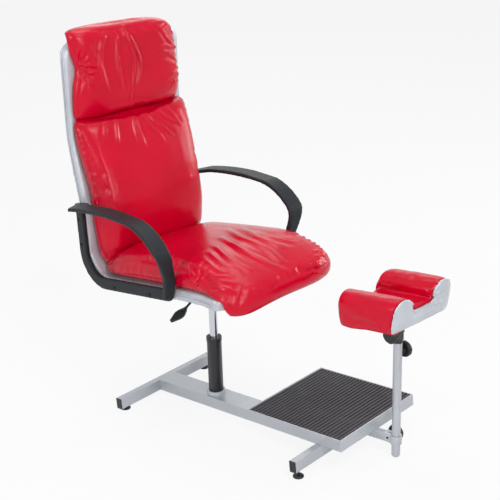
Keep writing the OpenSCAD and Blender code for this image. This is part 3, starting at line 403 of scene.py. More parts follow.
@lru_cache(maxsize=None)
def material_of(finish: Finish) -> bpy.types.Material:
    """The material of a finish, made once.

    Args:
        finish: The finish.

    Returns:
        Its material.
    """
    graph = Graph(finish.name)
    sockets: dict[int | str, object] = {
        "Base Color": linear(finish.colour),
        "Roughness": finish.roughness,
        "Metallic": finish.metallic,
        "Coat Weight": finish.coat,
        "Coat Roughness": 0.12,
        "Specular IOR Level": finish.specular,
    }
    sockets.update(finish.shade(graph))
    shader = graph.node("ShaderNodeBsdfPrincipled", None, sockets)
    graph.node("ShaderNodeOutputMaterial", None, {"Surface": shader})
    return graph.material


def pick(*objs: bpy.types.Object) -> None:
    """Selects these objects alone and makes the first one active."""
    if bpy.context.object is not None and bpy.context.object.mode != "OBJECT":
        bpy.ops.object.mode_set(mode="OBJECT")
    bpy.ops.object.select_all(action="DESELECT")
    for obj in objs:
        obj.select_set(True)
    bpy.context.view_layer.objects.active = objs[0]


def modify(obj: bpy.types.Object, kind: str, **settings: object) -> bpy.types.Object:
    """Adds a modifier and applies it.

    Args:
        obj: The object.
        kind: The modifier's type.
        **settings: Its settings.

    Returns:
        The object.
    """
    pick(obj)
    modifier = obj.modifiers.new(kind.title(), kind)
    for key, setting in settings.items():
        setattr(modifier, key, setting)
    bpy.ops.object.modifier_apply(modifier=modifier.name)
    return obj


def remesh(obj: bpy.types.Object, voxel: float) -> None:
    """Rebuilds a mesh from even small faces."""
    modify(obj, "REMESH", mode="VOXEL", voxel_size=voxel)


def relax(obj: bpy.types.Object, rounds: int) -> None:
    """Smooths a mesh a number of times."""
    modify(obj, "SMOOTH", factor=0.5, iterations=rounds)


def points_of(obj: bpy.types.Object) -> np.ndarray:
    """The mesh's vertices, one row each."""
    co = np.zeros(len(obj.data.vertices) * 3)
    obj.data.vertices.foreach_get("co", co)
    return co.reshape(-1, 3)


def normals_of(obj: bpy.types.Object) -> np.ndarray:
    """The mesh's vertex normals, one row each."""
    normals = np.zeros(len(obj.data.vertices) * 3)
    obj.data.vertex_normals.foreach_get("vector", normals)
    return normals.reshape(-1, 3)


def move_points(obj: bpy.types.Object, co: np.ndarray) -> None:
    """Writes the mesh's vertices."""
    obj.data.vertices.foreach_set("co", co.ravel())
    obj.data.update()


def tree_of(obj: bpy.types.Object) -> BVHTree:
    """A search tree over the object's faces."""
    mesh = bmesh.new()
    mesh.from_mesh(obj.data)
    tree = BVHTree.FromBMesh(mesh)
    mesh.free()
    return tree


def copy_of_node(node: str, name: str) -> bpy.types.Object:
    """A closed copy of a CAD node's mesh as a new object.

    Args:
        node: The CAD node.
        name: The new object's name.

    Returns:
        The new object.
    """
    obj = bpy.data.objects.new(name, bpy.data.objects[node].data.copy())
    bpy.context.scene.collection.objects.link(obj)
    pick(obj)
    if obj.data.has_custom_normals:
        bpy.ops.mesh.customdata_custom_splitnormals_clear()
    bpy.ops.object.mode_set(mode="EDIT")
    bpy.ops.mesh.select_all(action="SELECT")
    bpy.ops.mesh.remove_doubles(threshold=MERGE_REACH)
    bpy.ops.mesh.normals_make_consistent(inside=False)
    bpy.ops.object.mode_set(mode="OBJECT")
    return obj


def keep_largest(obj: bpy.types.Object) -> None:
    """Deletes every loose part of a mesh but the largest."""
    mesh = bmesh.new()
    mesh.from_mesh(obj.data)
    parts: list[set[bmesh.types.BMVert]] = []
    left = set(mesh.verts)
    while left:
        part, edge = set(), [next(iter(left))]
        while edge:
            vertex = edge.pop()
            if vertex not in part:
                part.add(vertex)
                edge.extend(link.other_vert(vertex) for link in vertex.link_edges)
        parts.append(part)
        left -= part
    largest = max(parts, key=len)
    bmesh.ops.delete(mesh, geom=[v for v in mesh.verts if v not in largest], context="VERTS")
    mesh.to_mesh(obj.data)
    mesh.free()


def finish_piece(obj: bpy.types.Object, body: str, coat: Coats) -> bpy.types.Object:
    """Gives a new piece its finish, smooth faces and the body that it rides on.

    Args:
        obj: The piece.
        body: The CAD body.
        coat: The finish.

    Returns:
        The piece.
    """
    obj.data.materials.clear()
    obj.data.materials.append(material_of(coat.value))
    pick(obj)
    bpy.ops.object.shade_smooth()
    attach(obj, body)
    log.info("%s: %d faces on %s", obj.name, len(obj.data.polygons), body)
    return obj


@dataclass(frozen=True)
class ShellPath:
    """The middle line of the seat shell, seen from the side, and the places round it."""

    column: tuple[float, float] = (-0.01435, 0.14345)
    turn: float = -6.0
    start: Point = (-0.335, 0.562, 2.0)
    runs: tuple[tuple[float, float], ...] = (
        (0.196, -13.0),
        (0.410, 0.0),
        (0.097 * math.radians(99.0), 99.0),
        (0.112, 0.0),
        (0.096, -11.0),
        (0.100, 0.0),
        (0.134, 14.0),
        (0.258, 0.0),
    )

    @property
    def length(self) -> float:
        """The whole length of the path."""
        return sum(run[0] for run in self.runs)

    def _step(self, place: Point, length: float, turn: float) -> Point:
        """The place and heading after a run of the path."""
        y, z, heading = place
        if turn == 0:
            angle = math.radians(heading)
            return (y + length * math.cos(angle), z + length * math.sin(angle), heading)
        radius = length / math.radians(turn)
        old, new = math.radians(heading), math.radians(heading + turn)
        rise = radius * (math.cos(old) - math.cos(new))
        return (y + radius * (math.sin(new) - math.sin(old)), z + rise, heading + turn)

    def at(self, along: float) -> Point:
        """The place (y, z) and heading in degrees at a length along the path."""
        place, rest = self.start, along
        if rest < 0:
            return self._step(place, rest, 0.0)
        for length, turn in self.runs:
            if rest <= length:
                return self._step(place, rest, turn * rest / length)
            place, rest = self._step(place, length, turn), rest - length
        return self._step(place, rest, 0.0)

    def point(self, across: float, along: float, off: float) -> Vector:
        """A point by the path, in the model's frame.

        Args:
            across: Distance from the middle, to the sitter's left.
            along: Length along the path from the front tip.
            off: Distance off the path, towards the sitter.

        Returns:
            The point.
        """
        y, z, heading = self.at(along)
        angle, turn = math.radians(heading), math.radians(self.turn)
        y, z = y - off * math.sin(angle), z + off * math.cos(angle)
        x = across * math.cos(turn) - y * math.sin(turn) + self.column[0]
        return Vector((x, across * math.sin(turn) + y * math.cos(turn) + self.column[1], z))


PATH = ShellPath()


@dataclass(frozen=True)
class Fold:
    """A crease in a cover along a line that is drawn on it.

    The line's points are whole millimetres, by the shell's path (across, along, off) or, for a
    cover that isn't on the shell, in the model's frame. A height below zero makes a groove.
    """

    line: tuple[tuple[int, int, int], ...]
    height: float
    width: float
    blunt: float = 0.0

    def drawn(self, on_shell: bool) -> list[Vector]:
        """The line's points in metres in the model's frame."""
        if on_shell:
            return [PATH.point(*(v / MM_PER_M for v in p)) for p in self.line]
        return [Vector(p) / MM_PER_M for p in self.line]


def smooth_line(points: Sequence[Vector], steps: int = 6) -> np.ndarray:
    """A smooth curve through points.

    Args:
        points: The points.
        steps: Pieces between two points.

    Returns:
        The curve's points, one row each.
    """
    if len(points) == 2:
        steps = 2
    made = []
    for i in range(len(points) - 1):
        a, b = points[max(i - 1, 0)], points[i]
        c, d = points[i + 1], points[min(i + 2, len(points) - 1)]
        for k in range(steps):
            t = k / steps
            made.append(
                b + 0.5 * t * (c - a + t * (2 * a - 5 * b + 4 * c - d + t * (3 * (b - c) + d - a)))
            )
    made.append(points[-1])
    return np.array([tuple(p) for p in made])


class Creaser:
    """Presses and raises folds in a finished mesh."""

    # How squarely a face has to look along a fold's own faces to be moved by it
    FACING = 0.15
    # Half widths round a fold within which the mesh is searched
    SEARCH = 5
    # Depth and place, in half widths, of the hollows beside a fold's ridge
    HOLLOWS = ((0.45, 1.8), (0.25, -2.0))
    TAPER = 0.6
    BLUNT_TAPER = 0.8
    # A gather's slant, range of lengths, range of heights, half width and bluntness
    SLANT = 0.3
    LENGTHS = (0.6, 1.3)
    HEIGHTS = (0.5, 1.2)
    GATHER_WIDTH = 0.28
    GATHER_BLUNT = 0.9

    def __init__(self, obj: bpy.types.Object) -> None:
        """Reads the mesh.

        Args:
            obj: The cover.
        """
        self.obj = obj
        self.co = points_of(obj)
        self.normals = normals_of(obj)
        self.tree = tree_of(obj)
        self.lift = np.zeros(len(self.co))

    def fold(self, line: Sequence[Vector], height: float, width: float, blunt: float = 0.0) -> None:
        """Adds one fold.

        Args:
            line: Its points near the surface.
            height: Its height, in metres.
            width: Its half width, in metres.
            blunt: How far its start stays full: 0 tapers at both ends, 1 stays full at the start.
        """
        found = [self.tree.find_nearest(p) for p in line]
        curve = smooth_line([hit[0] for hit in found])
        facing = np.array([tuple(hit[1]) for hit in found]).mean(0)
        low, high = curve.min(0) - self.SEARCH * width, curve.max(0) + self.SEARCH * width
        inside = ((self.co > low) & (self.co < high)).all(1)
        near = np.nonzero(inside & (self.normals @ facing > self.FACING))[0]
        if not len(near):
            return
        co = self.co[near]
        steps = np.linalg.norm(np.diff(curve, axis=0), axis=1)
        reach = np.concatenate([[0.0], np.cumsum(steps)]) / max(steps.sum(), 1e-6)
        best = np.full(len(near), np.inf)
        share, side = np.zeros(len(near)), np.zeros(len(near))
        for i, step in enumerate(np.diff(curve, axis=0)):
            t = np.clip((co - curve[i]) @ step / max(step @ step, 1e-12), 0, 1)
            away = co - (curve[i] + t[:, None] * step)
            distance = np.linalg.norm(away, axis=1)
            closer = distance < best
            best[closer] = distance[closer]
            share[closer] = (reach[i] + t * (reach[i + 1] - reach[i]))[closer]
            side[closer] = np.sign(np.cross(step, away) @ facing)[closer]
        q = side * best / width
        profile = np.exp(-q * q)
        for depth, place in self.HOLLOWS:
            profile = profile - depth * np.exp(-((q - place) ** 2))
        taper = np.sin(np.pi * np.clip(share, 0, 1)) ** self.TAPER
        if blunt:
            late = np.clip(1 - share, 0, 1) ** self.BLUNT_TAPER
            taper = (1 - blunt) * taper + blunt * late
        self.lift[near] += height * profile * taper

    def unevenness(self, height: float, size: float, seed: int) -> None:
        """Adds slow random swells.

        Args:
            height: Their height, in metres.
            size: Their size, in metres.
            seed: What sets the pattern.
        """
        shift = Vector((seed * 3.7, seed * 1.3, seed * 2.1))
        swell = [noise.noise(Vector(p) / size + shift) for p in self.co]
        self.lift += height * np.array(swell)

    def puckers(
        self,
        seam: Sequence[Vector],
        inward: Vector,
        pitch: float,
        reach: float,
        height: float,
        seed: int,
    ) -> None:
        """Adds short gathers that run off a seam.

        Args:
            seam: The seam's points.
            inward: The direction in which they run.
            pitch: The distance between them.
            reach: Their length.
            height: Their height.
            seed: What sets their lengths.
        """
        dice = random.Random(seed)
        curve = smooth_line(seam, 8)
        length = np.linalg.norm(np.diff(curve, axis=0), axis=1).sum()
        count = max(int(length / pitch), 1)
        places = np.linspace(0, len(curve) - 1, count + 1)
        for place in places:
            i = min(int(place), len(curve) - 2)
            start = Vector(curve[i]).lerp(Vector(curve[i + 1]), place - i)
            slant = Vector([dice.uniform(-1, 1) for _ in range(3)]) * self.SLANT
            run = (inward.normalized() + slant) * reach * dice.uniform(*self.LENGTHS)
            line = [start, start + run * 0.5, start + run]
            rise = height * dice.uniform(*self.HEIGHTS)
            self.fold(line, rise, pitch * self.GATHER_WIDTH, self.GATHER_BLUNT)

    def press(self) -> None:
        """Moves the mesh by all that was added."""
        move_points(self.obj, self.co + self.normals * self.lift[:, None])


CLOTH = {
    "quality": 4,
    "mass": 0.3,
    "tension_stiffness": 12,
    "compression_stiffness": 12,
    "bending_stiffness": 0.6,
    "use_pressure": True,
}


@dataclass
class Cushion:
    """A stuffed piece that swells from its CAD solid by a cloth simulation.

    The mesh is drawn in, blown up by the pressure for some frames and kept within the cap. It is
    then stretched to its solid's box and the spread round it, its skirt is drawn down, and the
    tugs, swells and folds are put in its cover.
    """

    name: str
    nodes: tuple[str, ...]
    body: str
    coat: Coats
    voxel: float = 0.006
    drawn_in: float = 0.004
    cap: float = 0.011
    pressure: float = 4.0
    fill: float = 0.7
    on_shell: bool = True
    folds: tuple[Fold, ...] = ()
    swell: tuple[float, float] = (0.0016, 0.09)
    spread: float = 0.002
    rounding: int = 8
    part: int = 0
    skirt: float = 0.0
    skirt_reach: float = 0.04
    rear_depth: float = 0.35
    frames: int = 20
    tugs: tuple[tuple[Point, Point, float], ...] = ()
    seed: int = 1
    extra: Callable[[Creaser], None] | None = field(default=None, repr=False)

    def build(self) -> bpy.types.Object:
        """Makes the cushion.

        Returns:
            The finished piece.
        """
        pad = copy_of_node(self.nodes[0], self.name)
        if self.part:
            self._keep_part(pad, self.part)
        for node in self.nodes[1:]:
            self._join_rear(pad, node)
        start = points_of(pad)
        box = (start.min(0), start.max(0))
        remesh(pad, self.voxel)
        keep_largest(pad)
        relax(pad, self.rounding)
        start = points_of(pad)
        move_points(pad, start - normals_of(pad) * self.drawn_in)
        self._inflate(pad)
        modify(pad, "SUBSURF", levels=1, render_levels=1)
        self._fit(pad, *box)
        if self.skirt:
            co = points_of(pad)
            low = (co[:, 2] - co[:, 2].min()) / self.skirt_reach
            co[:, 2] -= self.skirt * np.clip(1 - low, 0, 1)
            move_points(pad, co)
        for place, shift, reach in self.tugs:
            self._tug(pad, place, shift, reach)
        creaser = Creaser(pad)
        creaser.unevenness(*self.swell, self.seed)
        for fold in self.folds:
            creaser.fold(fold.drawn(self.on_shell), fold.height, fold.width, fold.blunt)
        if self.extra is not None:
            self.extra(creaser)
        creaser.press()
        relax(pad, 1)
        finish_piece(pad, self.body, self.coat)
        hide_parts(*self.nodes)
        return pad

    def _join_rear(self, pad: bpy.types.Object, node: str) -> None:
        """Joins the rear part of another node's solid to the pad."""
        rear = copy_of_node(node, "rear_part")
        self._keep_part(rear, 1)
        co = points_of(rear) + normals_of(rear) * self.spread
        seam = co[:, 1].min()
        co[:, 1] = seam + (co[:, 1] - seam) * self.rear_depth
        move_points(rear, co)
        pick(pad, rear)
        bpy.ops.object.join()

    def _keep_part(self, pad: bpy.types.Object, part: int) -> None:
        """Keeps one of a solid's two loose parts: -1 the front one, 1 the rear one."""
        pick(pad)
        bpy.ops.object.mode_set(mode="EDIT")
        bpy.ops.mesh.select_all(action="DESELECT")
        middle = points_of(pad)[:, 1].mean()
        bpy.ops.object.mode_set(mode="OBJECT")
        for vertex in pad.data.vertices:
            vertex.select = (vertex.co.y - middle) * part < 0
        bpy.ops.object.mode_set(mode="EDIT")
        bpy.ops.mesh.select_mode(type="VERT")
        bpy.ops.mesh.delete(type="VERT")
        bpy.ops.object.mode_set(mode="OBJECT")

    def _fit(self, pad: bpy.types.Object, low: np.ndarray, high: np.ndarray) -> None:
        """Stretches the mesh until it fills its solid's box and meets its neighbours.

        Args:
            pad: The cushion.
            low: The box's low corner.
            high: The box's high corner.
        """
        co = points_of(pad)
        low, high = low - self.spread, high + self.spread
        share = (co - co.min(0)) / (co.max(0) - co.min(0))
        move_points(pad, low + share * (high - low))

    def _tug(self, pad: bpy.types.Object, place: Point, shift: Point, reach: float) -> None:
        """Draws the cover near a place on the shell's path by a shift in the model's frame."""
        co = points_of(pad)
        away = np.linalg.norm(co - np.array(PATH.point(*place)), axis=1)
        move_points(pad, co + np.exp(-((away / reach) ** 2))[:, None] * np.array(shift))

    def _inflate(self, pad: bpy.types.Object) -> None:
        """Swells the mesh by pressure and keeps each point's way out within the cap."""
        before, facing = points_of(pad), normals_of(pad)
        pick(pad)
        cloth = pad.modifiers.new("Cloth", "CLOTH")
        for key, setting in CLOTH.items():
            setattr(cloth.settings, key, setting)
        cloth.settings.uniform_pressure_force = self.pressure
        cloth.settings.effector_weights.gravity = 0.0
        cloth.collision_settings.use_collision = False
        scene = bpy.context.scene
        for frame in range(1, self.frames + 1):
            scene.frame_set(frame)
        bpy.ops.object.modifier_apply(modifier=cloth.name)
        scene.frame_set(1)
        out = ((points_of(pad) - before) * facing).sum(1, keepdims=True)
        move_points(pad, before + facing * np.clip(out, 0.0, self.cap))


def folds(*rows: tuple[float, float, float, tuple[tuple[int, int, int], ...]]) -> tuple[Fold, ...]:
    """Folds from rows of height and half width in millimetres, bluntness and points."""
    return tuple(
        Fold(line, height / MM_PER_M, width / MM_PER_M, blunt)
        for height, width, blunt, line in rows
    )


SEAT_FOLDS = folds(
    (4.6, 4.0, 0.8, ((-221, 120, 57), (-206, 81, 76), (-181, 54, 80), (-155, 24, 76))),
    (5.8, 4.0, 0.8, ((-221, 117, 54), (-210, 67, 69), (-185, 30, 70), (-156, -5, 64))),
    (4.6, 4.0, 0.8, ((-222, 113, 52), (-216, 55, 61), (-198, 16, 59), (-181, -15, 50))),
    (4.6, 4.0, 0.8, ((-222, 116, 48), (-225, 57, 48), (-216, 13, 45), (-203, -10, 31))),
    (4.0, 4.0, 0.8, ((-222, 122, 43), (-225, 76, 35), (-224, 40, 20), (-223, 18, 3))),
    (3.4, 4.0, 0.8, ((-221, 120, 60), (-208, 106, 79), (-193, 99, 88), (-178, 88, 92))),
    (3.4, 4.8, 0.7, ((-221, 126, 62), (-210, 131, 82), (-189, 140, 98), (-174, 145, 105))),
    (3.4, 4.0, 0.7, ((-224, 132, 52), (-223, 150, 64), (-219, 172, 78))),
    (3.4, 4.8, 0.6, ((-220, 132, 66), (-216, 153, 80), (-199, 172, 96), (-180, 182, 105))),
    (4.5, 10.0, 0.0, ((-76, 194, 119), (-110, 117, 110), (-115, 60, 95), (-98, 17, 79))),
    (6.0, 12.0, 0.0, ((7, 269, 119), (-43, 143, 116), (-49, 75, 102), (-25, 18, 81), (2, -30, 59))),
    (5.5, 11.0, 0.0, ((88, 336, 117), (28, 193, 119), (16, 118, 112), (18, 59, 97), (16, 1, 74))),
    (4.5, 12.0, 0.0, ((117, 299, 116), (60, 162, 118), (60, 90, 106), (85, 43, 90))),
    (3.5, 9.0, 0.0, ((-123, 166, 115), (-147, 99, 102), (-141, 65, 93), (-125, 30, 83))),
    (3.0, 12.0, 0.0, ((100, 227, 117), (80, 140, 115), (98, 96, 106), (135, 59, 92))),
    (3.5, 8.0, 0.0, ((-170, 127, 103), (-175, 81, 91), (-159, 46, 84))),
    (4.0, 8.0, 0.0, ((-35, 172, 118), (-55, 90, 106), (-46, 38, 89), (-24, -2, 73))),
    (4.0, 7.0, 0.3, ((-172, -10, 58), (-193, -16, 38), (-196, -14, 6))),
    (3.0, 6.0, 0.2, ((-205, -2, 45), (-215, 1, 23), (-214, 5, -4))),
    (4.0, 6.0, 0.7, ((178, -21, 45), (151, -31, 44), (119, -36, 47))),
    (3.0, 6.0, 0.7, ((166, -29, 8), (127, -39, 24), (98, -41, 38))),
)
BACK_FOLDS = folds(
    (5.5, 5.1, 0.4, ((28, 1206, 68), (47, 1169, 95), (79, 1126, 110), (106, 1086, 119))),
    (3.3, 6.0, 0.3, ((10, 1200, 76), (24, 1152, 102), (51, 1106, 116), (59, 1072, 124))),
    (4.4, 5.1, 0.4, ((-13, 1205, 70), (-23, 1171, 94), (-21, 1117, 113), (-20, 1077, 123))),
    (2.2, 6.0, 0.3, ((-26, 1204, 70), (-47, 1162, 98), (-50, 1101, 117))),
    (3.3, 6.0, 0.3, ((-92, 1200, 75), (-106, 1162, 97), (-118, 1111, 112))),
    (3.3, 6.0, 0.4, ((77, 1195, 80), (103, 1164, 96), (136, 1140, 102), (168, 1123, 101))),
    (2.2, 6.8, 0.3, ((-129, 1201, 72), (-150, 1165, 92), (-158, 1130, 102))),
    (3.3, 6.0, 0.3, ((112, 1197, 77), (137, 1163, 94), (152, 1111, 108))),
)
HEAD_FOLDS = folds(
    (4.8, 4.0, 0.8, ((-200, 1396, 53), (-205, 1422, 51), (-202, 1451, 58), (-196, 1466, 62))),
    (4.8, 4.0, 0.8, ((-197, 1397, 55), (-195, 1425, 60), (-184, 1455, 66))),
    (3.6, 4.0, 0.8, ((-196, 1396, 57), (-181, 1418, 65), (-163, 1440, 70))),
    (6.0, 4.8, 0.7, ((-194, 1392, 58), (-173, 1402, 68), (-145, 1391, 74))),
    (6.0, 4.8, 0.7, ((-194, 1388, 57), (-172, 1375, 69), (-145, 1379, 75))),
    (4.8, 4.0, 0.8, ((-196, 1384, 56), (-180, 1359, 68), (-156, 1331, 77))),
    (3.6, 4.0, 0.8, ((-199, 1382, 50), (-196, 1366, 57), (-182, 1347, 69), (-164, 1339, 75))),
    (7.2, 4.8, 0.2, ((-24, 1520, 80), (-27, 1477, 76), (-2, 1410, 77), (-3, 1367, 81),
                     (-30, 1255, 75))),
    (6.0, 4.8, 0.2, ((-27, 1498, 73), (-5, 1455, 75), (17, 1401, 78), (19, 1356, 82),
                     (-1, 1302, 82))),
    (4.8, 5.6, 0.1, ((-66, 1500, 76), (-65, 1464, 75), (-68, 1415, 76), (-67, 1366, 81),
                     (-60, 1301, 82))),
    (4.8, 7.2, 0.1, ((-103, 1500, 74), (-124, 1462, 74), (-133, 1420, 73), (-130, 1370, 77),
                     (-115, 1305, 81))),
    (2.4, 7.2, 0.0, ((-143, 1495, 73), (-156, 1454, 71), (-149, 1416, 72), (-133, 1371, 77))),
    (3.6, 4.8, 0.8, ((184, 1399, 62), (145, 1410, 72), (110, 1413, 75), (77, 1412, 76))),
    (4.8, 5.6, 0.8, ((184, 1402, 62), (148, 1431, 69), (124, 1465, 71), (100, 1484, 73))),
    (3.6, 5.6, 0.8, ((188, 1391, 59), (151, 1386, 72), (115, 1383, 77), (82, 1386, 78))),
    (3.6, 4.8, 0.8, ((190, 1351, 60), (155, 1376, 72), (125, 1393, 75))),
    (4.8, 4.8, 0.7, ((192, 1308, 62), (161, 1283, 73), (141, 1253, 71))),
    (3.6, 5.6, 0.7, ((190, 1328, 63), (152, 1312, 76), (116, 1299, 80))),
    (3.6, 4.8, 0.7, ((160, 1481, 62), (134, 1472, 70), (107, 1471, 73))),
)


PANEL_FOLDS = folds(
    (1.8, 4.0, 0.8, ((180, -592, 561), (193, -607, 567), (214, -612, 574))),
    (1.8, 4.0, 0.8, ((180, -592, 561), (190, -608, 556), (206, -610, 545))),
    (1.6, 4.0, 0.8, ((182, -592, 566), (190, -607, 580), (197, -611, 597))),
    (2.0, 4.0, 0.8, ((176, -594, 558), (170, -604, 545), (160, -604, 532))),
    (1.4, 4.0, 0.8, ((184, -592, 572), (196, -608, 584), (212, -612, 590))),
    (2.0, 4.0, 0.8, ((72, -595, 564), (86, -596, 552), (102, -597, 540))),
    (2.0, 4.0, 0.8, ((72, -595, 564), (73, -597, 545), (82, -596, 525))),
    (1.6, 4.0, 0.8, ((70, -595, 566), (60, -597, 552), (52, -597, 536))),
    (1.6, 4.0, 0.5, ((140, -590, 556), (132, -600, 545), (122, -600, 533))),
)


# Seams by the shell's path: across, along and off it, in metres
SEAT_CORNER_SEAM: tuple[Point, ...] = (
    (0.214, 0.12, 0.085),
    (0.212, 0.07, 0.075),
    (0.20, 0.03, 0.062),
    (0.175, -0.005, 0.052),
)
BACK_SIDE_SEAM: tuple[Point, ...] = (
    (0.218, 1.20, 0.036),
    (0.222, 1.15, 0.058),
    (0.218, 1.09, 0.070),
    (0.213, 1.02, 0.072),
    (0.209, 0.93, 0.070),
    (0.206, 0.84, 0.066),
)


def seat_gathers(creaser: Creaser) -> None:
    """Gathers of the seat's cover along its far front corner and both side seams."""
    seam = [PATH.point(*place) for place in SEAT_CORNER_SEAM]
    inward = PATH.point(0, 0.06, 0.09) - seam[1]
    creaser.puckers(seam, inward, pitch=0.02, reach=0.045, height=0.0042, seed=5)
    for side in (-1, 1):
        line = [PATH.point(side * 0.226, s, 0.042) for s in (0.16, 0.3, 0.45, 0.58)]
        creaser.fold(line, height=-0.003, width=0.0035)
        up = Vector((0, 0, 1))
        creaser.puckers(line, up, pitch=0.034, reach=0.03, height=0.0013, seed=7 + side)


def back_gathers(creaser: Creaser) -> None:
    """Side seams of the back's cover with their gathers."""
    for side in (-1, 1):
        line = [PATH.point(side * across, along, off) for across, along, off in BACK_SIDE_SEAM]
        creaser.fold(line, height=-0.004, width=0.0035)
        inward = PATH.point(-side * 0.1, 1.05, 0.14) - line[2]
        creaser.puckers(line[:-1], inward, pitch=0.024, reach=0.02, height=0.0024, seed=21 + side)


def head_gathers(creaser: Creaser) -> None:
    """Gathers of the head cushion's cover at its drawn-in middle, along its left side."""
    seam = [PATH.point(0.197, s, 0.052) for s in (1.28, 1.34, 1.40, 1.47)]
    inward = PATH.point(0, 1.38, 0.1) - seam[1]
    creaser.puckers(seam, inward, pitch=0.022, reach=0.04, height=0.003, seed=31)


def saddle_gathers(creaser: Creaser) -> None:
    """Slow waves of the saddle's cover across its ridges."""
    creaser.unevenness(height=0.0012, size=0.03, seed=44)


@dataclass
class ChairCushions:
    """The three cushions of the chair."""

    def build(self) -> None:
        """Makes the seat, back and head cushions."""
        red = Coats.RED_VINYL
        Cushion(
            "seat_pad",
            ("seat_cushion",),
            "chair",
            red,
            voxel=0.0063,
            folds=SEAT_FOLDS,
            swell=(0.0012, 0.12),
            tugs=(
                ((-0.2, -0.03, -0.01), (0.010, -0.010, -0.017), 0.11),
                ((-0.226, 0.12, 0.0), (0.0, 0.0, -0.004), 0.08),
            ),
            seed=3,
            extra=seat_gathers,
        ).build()
        Cushion(
            "back_pad",
            ("back_cushion",),
            "chair",
            red,
            folds=BACK_FOLDS,
            seed=8,
            extra=back_gathers,
        ).build()
        Cushion(
            "head_pad",
            ("head_cushion",),
            "chair",
            red,
            voxel=0.0045,
            rounding=36,
            folds=HEAD_FOLDS,
            tugs=(((-0.205, 1.39, 0.045), (0.008, 0.0, 0.0), 0.035),),
            seed=11,
            extra=head_gathers,
        ).build()


@dataclass
class SaddleCushion:
    """The saddle cushion for the leg: a red body that takes in the rear end panel, and a silver
    front panel.
    """

    def build(self) -> None:
        """Makes the body and the front panel."""
        Cushion(
            "saddle_pad",
            ("leg_cushion", "leg_cushion_ends"),
            "leg_rest",
            Coats.RED_VINYL,
            voxel=0.0045,
            skirt=0.013,
            drawn_in=0.003,
            cap=0.006,
            spread=0.001,
            on_shell=False,
            swell=(0.0012, 0.06),
            seed=14,
            extra=saddle_gathers,
        ).build()
        Cushion(
            "saddle_front_panel",
            ("leg_cushion_ends",),
            "leg_rest",
            Coats.SILVER_VINYL,
            voxel=0.0035,
            drawn_in=0.002,
            cap=0.012,
            pressure=9.0,
            on_shell=False,
            folds=PANEL_FOLDS,
            swell=(0.0012, 0.03),
            spread=0.001,
            rounding=5,
            part=-1,
            seed=17,
        ).build()


@dataclass
class Shell:
    """The padded shell that carries the cushions, with two beads along each side."""

    voxel: float = 0.0064
    softening: int = 8
    bead_radius: float = 0.0021
    bead_offs: tuple[float, ...] = (-0.009, 0.009)
    bead_reach: tuple[float, float] = (0.02, 1.49)
    bead_side: float = 0.27
    bead_places: int = 60

    def build(self) -> None:
        """Makes the silver cover of the shell and the beads along its seams."""
        cover = copy_of_node("shell_cover", "shell_skin")
        remesh(cover, self.voxel)
        relax(cover, self.softening)
        creaser = Creaser(cover)
        creaser.unevenness(height=0.001, size=0.08, seed=23)
        creaser.press()
        finish_piece(cover, "chair", Coats.SILVER_VINYL)
        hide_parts("shell_cover")
        beads = [self._bead(cover, side, off) for side in (-1, 1) for off in self.bead_offs]
        pick(*beads)
        bpy.ops.object.join()
        beads[0].name = "shell_seam_beads"
        finish_piece(beads[0], "chair", Coats.SILVER_VINYL)

    def _bead(self, cover: bpy.types.Object, side: int, off: float) -> bpy.types.Object:
        """A thin bead along one side of the shell.

        Args:
            cover: The shell's cover.
            side: -1 for the sitter's right, 1 for the left.
            off: The bead's distance off the shell's middle.

        Returns:
            The bead's mesh.
        """
        tree = tree_of(cover)
        across = side * self.bead_side
        places = np.linspace(*self.bead_reach, self.bead_places)
        seam = [tree.find_nearest(PATH.point(across, s, off))[0] for s in places]
        line = smooth_line(seam, steps=3)
        curve = bpy.data.curves.new("bead", "CURVE")
        curve.dimensions = "3D"
        curve.bevel_depth = self.bead_radius
        curve.bevel_resolution = 2
        spline = curve.splines.new("POLY")
        spline.points.add(len(line) - 1)
        for point, place in zip(spline.points, line):
            point.co = (*place, 1.0)
        bead = bpy.data.objects.new("bead", curve)
        bpy.context.scene.collection.objects.link(bead)
        pick(bead)
        bpy.ops.object.convert(target="MESH")
        return bpy.context.object


@dataclass
class Armrests:
    """The two moulded arm loops with softly rounded edges."""

    voxel: float = 0.0026
    softening: int = 16

    def build(self) -> None:
        """Makes both armrests."""
        for side in ("right", "left"):
            arm = copy_of_node(f"armrest_{side}", f"arm_loop_{side}")
            remesh(arm, self.voxel)
            relax(arm, self.softening)
            finish_piece(arm, "chair", Coats.ARM_PLASTIC)
            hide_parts(f"armrest_{side}")


# The width in metres of the rounding on the edges of these nodes
EDGE_WIDTHS = {
    0.002: ("spine_tube",),
    0.0015: ("rear_crossbar", "front_crossbar", "support_arm", "mechanism_box"),
    0.0012: ("crossbar_caps", "lever_paddle", "lower_knob", "upper_knob", "tilt_knob", "knuckle"),
    0.001: ("tray_frame", "mechanism_plate"),
    0.0008: ("post_clamp", "outer_tube", "column_hub"),
    0.0006: ("tilt_bracket", "cushion_board"),
    0.0005: ("post_tube",),
}


